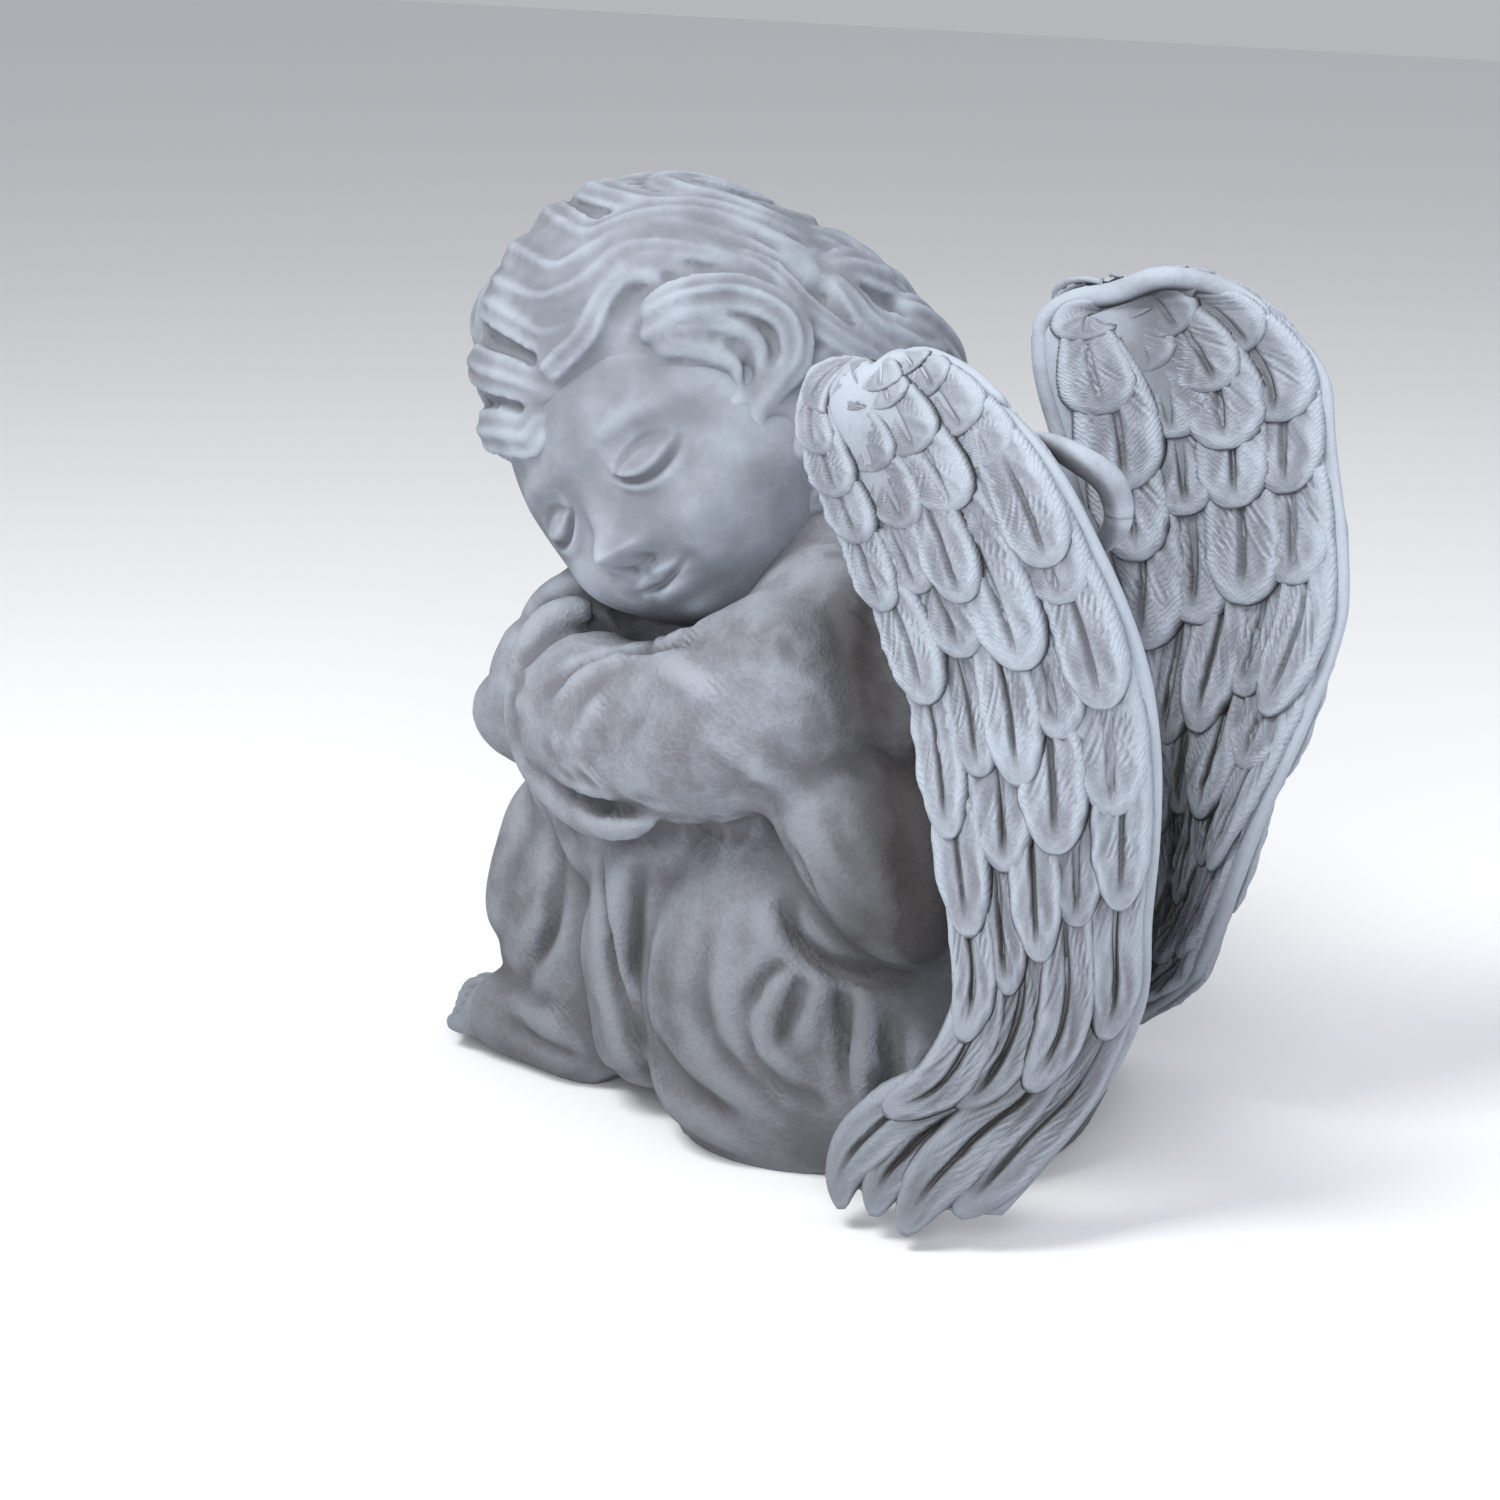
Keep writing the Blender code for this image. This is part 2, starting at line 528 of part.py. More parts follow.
class Wing:
    """One wing's middle surface: share runs front to back, way runs top to tip."""

    def __init__(self, side, raised=0.0, front_forward=0.0, back_forward=0.0, tip_forward=0.0):
        self.side = side
        self.raised = raised
        self.steps = 200
        self.front = smooth_curve(WING_FRONT, self.steps)
        self.back = smooth_curve(WING_BACK, self.steps)
        self.front[:, 0] -= front_forward * np.exp(-(((self.front[:, 1] - 88) / 48) ** 2))
        self.back[:, 0] -= back_forward * np.exp(-(((self.back[:, 1] - 80) / 42) ** 2))
        self.back[:, 0] -= tip_forward * np.clip((32 - self.back[:, 1]) / 26, 0, 1)

    def edge(self, line, way):
        at = np.clip(way, 0, 1) * (self.steps - 1)
        return np.stack([np.interp(at, np.arange(self.steps), line[:, k]) for k in range(3)], -1)

    def place(self, share, way):
        share, way = np.broadcast_arrays(np.asarray(share, float), np.asarray(way, float))
        front, back = self.edge(self.front, way), self.edge(self.back, way)
        mixed = front + (back - front) * share[..., None]
        bulge = 5.0 * np.sin(np.pi * np.clip(share, 0, 1))
        return np.stack([mixed[..., 2] + bulge, mixed[..., 0], mixed[..., 1]], -1)

    def normal(self, share, way):
        step = 0.01
        across = self.place(share + step, way) - self.place(share - step, way)
        further, sooner = np.minimum(way + step, 1), np.maximum(way - step, 0)
        along = self.place(share, further) - self.place(share, sooner)
        normal = unit(np.cross(across, along))
        return normal * np.sign(normal[..., :1])

    def thickness(self, share, way):
        shoulder = np.exp(-(((way - 0.12) / 0.16) ** 2)) * np.exp(-((share / 0.55) ** 2))
        return WING_EDGE_THICKNESS + (WING_SHOULDER_THICKNESS - WING_EDGE_THICKNESS) * shoulder

    def blade(self):
        """The rings of the bare blade."""
        way = np.linspace(0.0, 0.985, 60)[:, None]
        turn = np.linspace(0, 2 * math.pi, 40, endpoint=False)[None, :]
        share = (1 - np.cos(turn)) / 2 + 0 * way
        way = way + 0 * turn
        offset = np.sign(np.sin(turn)) * np.abs(np.sin(turn)) ** 0.6
        offset = offset * self.thickness(share, way)
        return self.place(share, way) + self.normal(share, way) * offset[..., None]

    def top_edge(self):
        """Rows of the rounded edge that runs over the top and thins out down the front."""
        front = self.edge(self.front, np.linspace(0.42, 0, 12))
        back = self.edge(self.back, np.linspace(0.02, 0.12, 4))
        line = np.concatenate([front, back])[:, [2, 0, 1]]
        radius = np.interp(np.arange(16), [0, 6, 11, 15], [2.2, 5.6, 5.0, 3.0])[:, None]
        return np.hstack([line, radius, radius])

    def feather(self, share, start, end, width, face, sunk):
        """The rings of one feather on the outer face, 1, or the inner face, -1."""
        u = np.linspace(0, 1, 16)
        way = start + (end - start) * u
        fan = share - 0.04 * u
        middle = self.place(fan, way)
        normal = self.normal(np.clip(fan, 0.02, 0.98), np.clip(way, 0.01, 0.99)) * face
        lift = self.thickness(fan, way) * 0.8 - 2.5 - sunk + FEATHER_LIFT * u ** 1.5
        along = unit(np.gradient(middle, axis=0))
        across = unit(np.cross(normal, along))
        chord = np.linalg.norm(self.place(1.0, way) - self.place(0.0, way), axis=-1)
        tip = np.sqrt(np.clip(1 - ((u - 0.72) / 0.285).clip(0) ** 2, 0, 1))
        half = chord * width * 0.5 * (0.75 + 0.25 * np.minimum(u / 0.6, 1)) * tip + 0.05
        thick = FEATHER_THICKNESS * (0.2 + 0.8 * tip)
        turn = np.linspace(0, 2 * math.pi, 14, endpoint=False)
        return (
            (middle + normal * lift[:, None])[:, None]
            + across[:, None] * (half[:, None] * np.cos(turn))[..., None]
            + normal[:, None] * (thick[:, None] * np.sin(turn))[..., None]
        )

    def feathers(self, face):
        """The rings of all feathers on one face."""
        for row, (start, end, count, slant) in enumerate(OUTER_ROWS if face > 0 else INNER_ROWS):
            width = FEATHER_OVERLAP / (count + (0.36 if row % 2 else 0.0))
            first = width / 2 if face > 0 else width / 2 + INNER_RIM
            for k in range(count):
                under = k % 2
                share = first + (1 - width / 2 - first) * k / (count - 1)
                wobble = 0.012 * math.sin(7.3 * row + 4.1 * k + face) - 0.018 * under
                begin = max(start - slant * share * 0.6, 0.012)
                finish = min(end - slant * share + wobble, 1.0)
                yield self.feather(share, begin, finish, width, face, 1.1 * under + 0.5 * share)

    def add_to(self, clay):
        """The blade, its rounded edge and its feathers, on the wing's own side."""
        turned = np.array([self.side, 1, 1])
        raised = np.array([0, 0, self.raised])
        clay.add_grid(self.blade() * turned + raised)
        edge = self.top_edge() * (self.side, 1, 1, 1, 1) + (0, 0, self.raised, 0, 0)
        clay.add_limb(edge, cap=0.1, rings=40)
        for face in (1, -1):
            for rings in self.feathers(face):
                clay.add_grid(rings * turned + raised)


def make_angel():
    """The figure as one skin, with the strokes of the tool worked into its robe."""
    masses = Clay()
    add_trunk(masses)
    for side in (1, -1):
        add_side(masses, side)
    add_robe(masses)
    body = fuse(masses.to_object("masses"), MASS_GRID, MASS_SMOOTHING)

    clay = Clay()
    clay.add_object(body)
    add_folds(clay)
    for side in (1, -1):
        add_foot(clay, side)
    add_skull(clay)
    add_hair(clay)
    Wing(1).add_to(clay)
    Wing(-1, raised=3.0, front_forward=14.0, back_forward=6.0, tip_forward=12.0).add_to(clay)
    angel = fuse(clay.to_object("angel"), CARVING_GRID, CARVING_SMOOTHING)
    for path, width, depth in STROKES:
        press(angel, path, width, depth)
        press(angel, [(-x, y, z) for x, y, z in path], width, depth)
    bpy.data.objects.remove(body)
    return angel


def cast_stone():
    """Matte grey cast stone."""
    material = bpy.data.materials.new("cast_stone")
    material.use_nodes = True
    shader = material.node_tree.nodes["Principled BSDF"]
    shader.inputs["Base Color"].default_value = (0.30, 0.30, 0.33, 1.0)
    shader.inputs["Roughness"].default_value = 0.85
    shader.inputs["Metallic"].default_value = 0.0
    return material


def main():
    for obj in list(bpy.data.objects):
        bpy.data.objects.remove(obj)
    angel = make_angel()
    cut_flat(angel, 0.0)
    keep_largest_body(angel)
    reduce_to(angel, TRIANGLES)
    fit_to_size(angel)
    angel.data.materials.clear()
    angel.data.materials.append(cast_stone())
    for polygon in angel.data.polygons:
        polygon.use_smooth = True
    angel.data.set_sharp_from_angle(angle=SHARP_ANGLE)


if __name__ == "__main__":
    main()
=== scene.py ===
"""A cast stone cherub that sleeps on its folded arms, dressed over its plain solid.

The figure is built from closed forms, each a profile carried along a path or a function of two
parameters on a grid. The forms of the body, and those of the hair, are each fused into one skin;
the body's skin is tooled with ridges and grooves, and all pieces are fitted to the box of the solid
that they replace. Places in the classes are in millimetres, with the figure facing -Y, its left side
at +X and the ground at z = 0.
"""

from __future__ import annotations

import logging
import math
from dataclasses import dataclass, field
from enum import Enum

import bmesh
import bpy
import numpy as np
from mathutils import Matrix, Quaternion, Vector

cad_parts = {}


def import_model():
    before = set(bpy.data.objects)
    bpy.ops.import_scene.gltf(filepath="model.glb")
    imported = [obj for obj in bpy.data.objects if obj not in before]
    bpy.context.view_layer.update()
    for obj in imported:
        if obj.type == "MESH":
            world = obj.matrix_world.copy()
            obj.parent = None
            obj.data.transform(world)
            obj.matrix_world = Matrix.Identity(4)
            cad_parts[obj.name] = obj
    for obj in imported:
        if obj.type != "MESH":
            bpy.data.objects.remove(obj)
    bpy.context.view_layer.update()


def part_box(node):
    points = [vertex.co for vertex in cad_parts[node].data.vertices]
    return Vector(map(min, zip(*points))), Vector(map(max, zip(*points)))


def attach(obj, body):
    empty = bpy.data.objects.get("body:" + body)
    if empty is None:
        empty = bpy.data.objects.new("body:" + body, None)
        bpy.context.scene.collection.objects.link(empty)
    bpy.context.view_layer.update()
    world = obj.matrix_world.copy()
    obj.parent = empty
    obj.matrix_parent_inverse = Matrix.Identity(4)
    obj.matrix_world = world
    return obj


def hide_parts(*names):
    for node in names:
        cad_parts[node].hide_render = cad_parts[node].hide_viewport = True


logger = logging.getLogger("cherub")

Array = np.ndarray
NODE = "angel"


class Zone(Enum):
    """What a form of the casting shows, as the number of its material."""

    SKIN = 0
    FEATHER = 1
    HAIR = 2
    CLOTH = 3


def unit(vector: Array) -> Array:
    """Scale a vector, or each row of an array of them, to length 1."""
    vector = np.asarray(vector, float)
    return vector / np.maximum(np.linalg.norm(vector, axis=-1, keepdims=True), 1e-12)


def smooth_curve(points: Array, count: int) -> Array:
    """Carry a smooth curve through rows of points.

    Between two points it is the cubic that meets both with the slopes of the central differences,
    read at even steps of the length of the straight line from point to point.

    Args:
        points: Rows whose first three columns are a place. Further columns are carried along.
        count: The number of rows to return.

    Returns:
        An array of count rows with the columns of points.
    """
    points = np.asarray(points, float)
    steps = np.maximum(np.linalg.norm(np.diff(points[:, :3], axis=0), axis=1), 1e-6)
    knots = np.concatenate([[0.0], np.cumsum(steps)])
    slopes = np.gradient(points, knots, axis=0)
    at = np.linspace(0.0, knots[-1], count)
    i = np.clip(np.searchsorted(knots, at, side="right") - 1, 0, len(knots) - 2)
    gap = (knots[i + 1] - knots[i])[:, None]
    u = (at - knots[i])[:, None] / gap
    return (
        (1 + 2 * u) * (1 - u) ** 2 * points[i]
        + u * (1 - u) ** 2 * gap * slopes[i]
        + u * u * (3 - 2 * u) * points[i + 1]
        + u * u * (u - 1) * gap * slopes[i + 1]
    )


def bell(distance: Array, width: float | Array) -> Array:
    """Return the bell curve e to the power of minus (distance / width) squared."""
    return np.exp(-((distance / width) ** 2))


@dataclass
class Clay:
    """Closed forms that are pressed together, with a strand coordinate and a zone at each point."""

    points: list[Array] = field(default_factory=list)
    quads: list[Array] = field(default_factory=list)
    triangles: list[Array] = field(default_factory=list)
    strands: list[Array] = field(default_factory=list)
    zones: list[tuple[int, int, int]] = field(default_factory=list)
    count: int = 0

    def add_rings(self, rings: Array, zone: Zone, strands: Array | None = None) -> None:
        """Add a closed form: a stack of closed rings with a pole at the middle of each end ring.

        Args:
            rings: Places, shaped (ring, side, 3).
            zone: What the form shows.
            strands: Distance across and along the strands at each place, shaped (ring, side, 2).
        """
        rings = np.asarray(rings, float)
        ring_count, sides, _ = rings.shape
        if strands is None:
            strands = np.zeros((ring_count, sides, 2))
        poles = np.stack([rings[0].mean(0), rings[-1].mean(0)])
        pole_strands = np.stack([strands[0].mean(0), strands[-1].mean(0)])
        self.points.append(np.concatenate([rings.reshape(-1, 3), poles]))
        self.strands.append(np.concatenate([strands.reshape(-1, 2), pole_strands]))
        grid = np.arange(ring_count * sides).reshape(ring_count, sides) + self.count
        beside = np.roll(grid, -1, axis=1)
        self.quads.append(
            np.stack([grid[:-1], beside[:-1], beside[1:], grid[1:]], axis=-1).reshape(-1, 4)
        )
        start = np.full(sides, self.count + ring_count * sides)
        self.triangles.append(np.stack([beside[0], grid[0], start], axis=-1))
        self.triangles.append(np.stack([grid[-1], beside[-1], start + 1], axis=-1))
        total = ring_count * sides + 2
        self.zones.append((len(self.quads[-1]), 2 * sides, zone.value))
        self.count += total

    def add_ellipsoid(
        self, centre: Array, radii: Array, zone: Zone, rings: int = 28, sides: int = 36
    ) -> None:
        """Add an ellipsoid: sines and cosines of the polar angle and the turn, times the radii.

        Args:
            centre: The place of its middle.
            radii: Half its width, depth and height.
            zone: What it shows.
            rings: Rings from pole to pole.
            sides: Sides around it.
        """
        polar = np.linspace(0.02, math.pi - 0.02, rings)[:, None]
        turn = np.linspace(0, 2 * math.pi, sides, endpoint=False)[None, :]
        local = np.stack(
            [
                np.sin(polar) * np.cos(turn) * radii[0],
                np.sin(polar) * np.sin(turn) * radii[1],
                np.cos(polar) * np.ones_like(turn) * radii[2],
            ],
            axis=-1,
        )
        self.add_rings(np.asarray(centre) + local, zone)

    def add_limb(
        self,
        rows: Array,
        zone: Zone,
        up: tuple[float, float, float] = (0.0, 0.0, 1.0),
        rings: int = 36,
        sides: int = 28,
        cap: float = 0.16,
    ) -> None:
        """Add a limb: an ellipse carried along a path, its ends rounded as quarter circles.

        Args:
            rows: Rows of (x, y, z, half width, half depth).
            zone: What the limb shows.
            up: The direction that the half depth is measured nearest to.
            rings: Rings along the limb.
            sides: Sides around it.
            cap: The share of its length that each rounded end takes.
        """
        line = smooth_curve(rows, rings)
        along = unit(np.gradient(line[:, :3], axis=0))
        across = unit(np.cross(np.broadcast_to(up, along.shape), along))
        out = np.cross(along, across)
        share = np.linspace(0.0, 1.0, rings)
        from_end = np.minimum(np.minimum(share, 1 - share) / cap, 1)
        fullness = np.sqrt(np.clip(1 - (1 - from_end) ** 2, 0.0004, 1))
        turn = np.linspace(0, 2 * math.pi, sides, endpoint=False)
        width = (line[:, 3] * fullness)[:, None, None]
        depth = (line[:, 4] * fullness)[:, None, None]
        self.add_rings(
            line[:, None, :3]
            + across[:, None] * width * np.cos(turn)[None, :, None]
            + out[:, None] * depth * np.sin(turn)[None, :, None],
            zone,
        )

    def add_mesh(self, obj: bpy.types.Object, zone: Zone) -> None:
        """Add an object's closed mesh of quads.

        Args:
            obj: The object that has the mesh.
            zone: What it shows.
        """
        mesh = obj.data
        corners = np.empty(len(mesh.loops), np.int32)
        mesh.loops.foreach_get("vertex_index", corners)
        self.quads.append(corners.reshape(-1, 4) + self.count)
        self.points.append(read_points(mesh))
        self.strands.append(np.zeros((len(mesh.vertices), 2)))
        self.zones.append((len(self.quads[-1]), 0, zone.value))
        self.count += len(mesh.vertices)

    def to_object(self, name: str) -> bpy.types.Object:
        """Return the forms as one mesh object with its strand map and zones.

        Args:
            name: The name of the object.

        Returns:
            An object in the scene. Its faces hold their zones as the numbers of materials.
        """
        faces = np.concatenate(self.quads).tolist()
        if self.triangles:
            faces += np.concatenate(self.triangles).tolist()
        mesh = bpy.data.meshes.new(name)
        mesh.from_pydata(np.concatenate(self.points), [], faces)
        corners = np.empty(len(mesh.loops), np.int32)
        mesh.loops.foreach_get("vertex_index", corners)
        strand_map = mesh.uv_layers.new(name="strands")
        strand_map.data.foreach_set("uv", np.concatenate(self.strands)[corners].ravel())
        quads, ends, shown = (np.array(column) for column in zip(*self.zones))
        slots = [np.repeat(shown, quads), np.repeat(shown, ends)]
        for _ in Zone:
            mesh.materials.append(None)
        mesh.polygons.foreach_set("material_index", np.concatenate(slots).astype(np.int32))
        mesh.update()
        obj = bpy.data.objects.new(name, mesh)
        bpy.context.scene.collection.objects.link(obj)
        return obj


# The robed body

# Rows of (x, y, z, half width, half depth) along each limb of cloth
LEFT_SLEEVE = (
    (40, 30, 136, 24, 24), (46, 14, 126, 25, 25), (48, -8, 113, 24, 24), (42, -36, 106, 22, 23),
    (27, -66, 108, 21, 22),
)
RIGHT_SLEEVE = (
    (-42, 16, 130, 24, 24), (-46, -26, 118, 24, 23), (-34, -62, 110, 22, 22), (2, -72, 112, 18, 20),
)
SKIRT = (
    (2, -56, 84, 24, 28), (3, -59, 62, 27, 31), (4, -63, 38, 30, 35), (3, -60, 20, 31, 32),
    (0, -50, 4, 36, 26),
)
RIGHT_KNEE = ((-22, -44, 92, 22, 22), (-14, -84, 91, 19, 19), (-5, -117, 88, 16, 15))
SLEEVE_RIM = (
    (26, -56, 134, 4, 5), (33, -66, 126, 5, 6), (41, -68, 112, 5, 6), (46, -63, 99, 5, 6),
    (50, -52, 89, 5, 6), (55, -36, 85, 5, 5), (61, -16, 89, 3, 3),
)
# Strokes of the modelling tool: a path of places, the stroke's half width, and its depth, which is
# below zero where the tool leaves a ridge
LEFT_STROKES = (
    (((48, -45, 76), (46, -44, 64), (48, -40, 52), (48, -38, 40), (48, -34, 29), (45, -29, 14)), 2.4, 6.0),
    (((50, -28, 76), (49, -30, 64), (49, -31, 51), (49, -32, 39), (49, -31, 29), (48, -27, 16)), 2.6, 4.5),
    (((50, -37, 74), (50, -36, 60), (51, -35, 46), (51, -34, 32)), 3.0, -2.6),
    (((50, -22, 74), (53, -23, 58), (54, -23, 44), (54, -22, 30)), 4.0, -2.2),
    (((30, -66, 84), (31, -67, 68), (34, -66, 55), (34, -68, 43), (31, -76, 28)), 3.2, 6.0),
    (((36, -60, 76), (38, -57, 62), (40, -55, 46), (40, -58, 30), (37, -66, 18)), 5.0, -4.0),
    (
        ((63, 17, 98), (62, 18, 88), (56, 17, 76), (56, 20, 66), (54, 28, 59), (50, 36, 56), (46, 46, 55)),
        2.6, 6.5,
    ),
    (((60, 12, 92), (60, 10, 80), (59, 12, 69), (59, 18, 60)), 4.0, -2.0),
    (((57, 22, 60), (61, 15, 54), (65, 11, 44), (65, 13, 34), (62, 20, 26), (58, 28, 23)), 2.6, 4.5),
    (((60, 21, 57), (63, 17, 51), (65, 15, 44), (64, 17, 36), (62, 23, 30)), 3.2, -4.5),
    (((58, 24, 56), (60, 23, 49), (61, 21, 42), (61, 20, 37)), 2.4, 4.5),
    (((58, 29, 54), (60, 28, 46), (61, 26, 38)), 3.0, -3.0),
    (((53, 32, 57), (54, 34, 48), (56, 35, 39), (58, 36, 28)), 2.4, 5.0),
    (((52, 38, 56), (53, 39, 47), (55, 40, 36), (56, 42, 24)), 3.4, -4.0),
    (((50, 44, 55), (51, 45, 47), (53, 47, 37), (54, 49, 24)), 2.4, 4.5),
    (((48, 51, 55), (50, 52, 44), (51, 55, 28)), 3.4, -3.5),
    (((60, -4, 60), (62, -4, 44), (63, 2, 32), (62, 11, 25), (59, 22, 18)), 4.5, 3.0),
    (((62, 3, 66), (64, 4, 52), (65, 6, 42)), 5.0, -1.8),
    (((45, -27, 20), (54, -14, 12), (60, 1, 7), (62, 12, 3), (62, 30, 2)), 4.2, -4.5),
    (((50, -24, 30), (57, -10, 21), (62, 4, 15), (64, 18, 12)), 3.0, 2.5),
    (
        ((46, -58, 104), (54, -49, 116), (53, -42, 124), (50, -34, 129), (55, -18, 134), (62, -2, 138)),
        2.8, 3.4,
    ),
    (((58, -44, 118), (58, -36, 125), (57, -26, 130)), 3.6, -2.6),
    (((64, -36, 106), (66, -32, 113), (65, -27, 121)), 4.0, -2.4),
    (((66, -22, 108), (68, -16, 117), (67, -12, 126)), 4.0, 2.2),
    (((63, -12, 132), (69, 0, 130), (71, 9, 128)), 3.4, -2.6),
    (((70, 8, 118), (66, 18, 110), (62, 27, 103)), 4.0, -2.2),
    (((60, -49, 106), (61, -44, 97), (60, -36, 91), (64, -22, 93), (67, -10, 97)), 2.6, 1.4),
    (((34, -79, 15), (39, -66, 12), (38, -54, 9), (46, -34, 12)), 2.0, 2.6),
    (((34, -78, 21), (40, -64, 18), (42, -50, 15)), 3.0, -2.0),
    (
        ((62, 18, 90), (62, 23, 86), (61, 30, 74), (60, 37, 66), (57, 49, 60), (52, 62, 56), (46, 72, 54)),
        2.4, 5.0,
    ),
    (((62, 27, 84), (62, 33, 75), (60, 42, 69), (56, 52, 66), (50, 64, 64)), 4.0, -2.4),
    (((63, 34, 104), (64, 36, 95), (62, 42, 86)), 3.6, 2.6),
    (((58, 46, 100), (58, 50, 90), (56, 55, 80)), 4.0, 2.4),
    (
        ((31, -62, 128), (38, -68, 113), (42, -65, 100), (47, -56, 90), (52, -42, 84), (58, -24, 85)),
        2.4, -2.6,
    ),
    (((38, -56, 122), (45, -60, 112), (49, -57, 102), (53, -49, 94), (57, -36, 90), (62, -20, 92)), 2.0, 3.2),
    (((43, -50, 119), (50, -53, 110), (54, -50, 102), (58, -42, 96), (62, -30, 93)), 2.4, -2.0),
)


def stone_noise(points: Array, size: float, seed: int) -> Array:
    """Smooth random heights in space.

    Each corner of a lattice of cubes has a random number, worked out from the corner's whole
    coordinates. A place takes the mix of the eight corners round it, weighted by 3u^2 - 2u^3.

    Args:
        points: Places, shaped (count, 3).
        size: The side of a cube.
        seed: A number that picks the pattern.

    Returns:
        Heights from -1 to 1.
    """
    scaled = points / size
    low = np.floor(scaled).astype(np.int64)
    part = scaled - low
    ease = part * part * (3 - 2 * part)
    total = np.zeros(len(points))
    for corner in np.ndindex(2, 2, 2):
        x, y, z = (low + corner).T
        mixed = (x * 73856093) ^ (y * 19349663) ^ (z * 83492791) ^ (seed * 2654435)
        mixed = (mixed * 1103515245 + 12345) % 2147483648
        value = (mixed % 65536) / 32767.5 - 1.0
        weight = np.prod(np.where(corner, ease, 1 - ease), axis=1)
        total += value * weight
    return total


def apply_modifiers(obj: bpy.types.Object) -> None:
    """Make an object's modifiers part of its mesh.

    Args:
        obj: The object with the modifiers.
    """
    graph = bpy.context.evaluated_depsgraph_get()
    mesh = bpy.data.meshes.new_from_object(obj.evaluated_get(graph))
    obj.modifiers.clear()
    obj.data = mesh


def fuse(obj: bpy.types.Object, grid: float, smoothing: int) -> None:
    """Turn the overlapping forms of an object into one skin of small squares, and soften it.

    Args:
        obj: The object with the forms.
        grid: The side of the squares.
        smoothing: How often each point moves half way to the mean of its neighbours.
    """
    remesh = obj.modifiers.new("Fuse", "REMESH")
    remesh.mode = "VOXEL"
    remesh.voxel_size = grid
    smooth = obj.modifiers.new("Soften", "SMOOTH")
    smooth.factor = 0.5
    smooth.iterations = smoothing
    apply_modifiers(obj)


def read_points(mesh: bpy.types.Mesh, layer: str = "co") -> Array:
    """Return the places of a mesh's points, or their normals, as rows.

    Args:
        mesh: The mesh.
        layer: What is read of each point, co or normal.

    Returns:
        An array shaped (count, 3).
    """
    values = np.empty(len(mesh.vertices) * 3, np.float32)
    mesh.vertices.foreach_get(layer, values)
    return values.reshape(-1, 3).astype(float)


def write_points(mesh: bpy.types.Mesh, points: Array) -> None:
    """Put the places of a mesh's points back."""
    mesh.vertices.foreach_set("co", np.asarray(points, np.float32).ravel())
    mesh.update()


def read_faces(mesh: bpy.types.Mesh, name: str, columns: int = 1) -> Array:
    """Return one value of each face of a mesh.

    Args:
        mesh: The mesh.
        name: The value, such as area, center or material_index.
        columns: How many numbers a face has of it.

    Returns:
        An array shaped (faces,), or (faces, columns) where there are several.
    """
    kind = np.int32 if name == "material_index" else np.float32
    values = np.empty(len(mesh.polygons) * columns, kind)
    mesh.polygons.foreach_get(name, values)
    return values if columns == 1 else values.reshape(-1, columns)


def stroke(points: Array, path: Array, width: float) -> Array:
    """Return how far a tool's stroke works on each point.

    It is the bell curve of the distance to the path, times the square root of the sine of the
    share of the path, so that the stroke runs out at both ends.

    Args:
        points: Places, shaped (count, 3).
        path: Rows of places along the stroke.
        width: Its half width.

    Returns:
        A share from 0 to 1 at each point.
    """
    line = smooth_curve(path, 48)
    reach = 3 * width
    near = np.all((points > line.min(0) - reach) & (points < line.max(0) + reach), axis=1)
    apart = np.linalg.norm(points[near][:, None] - line[None], axis=2)
    share = apart.argmin(1) / (len(line) - 1)
    work = np.zeros(len(points))
    work[near] = np.sqrt(np.sin(math.pi * np.clip(share, 0.03, 0.97))) * bell(apart.min(1), width)
    return work


def press(obj: bpy.types.Object, path: Array, width: float, depth: float) -> None:
    """Press a stroke into the surface of an object, against the normals.

    Args:
        obj: The object that is worked.
        path: Rows of places along the stroke.
        width: Its half width.
        depth: Its depth, below zero for a ridge.
    """
    points = read_points(obj.data)
    work = stroke(points, path, width)
    write_points(obj.data, points - read_points(obj.data, "normal") * (work * depth)[:, None])


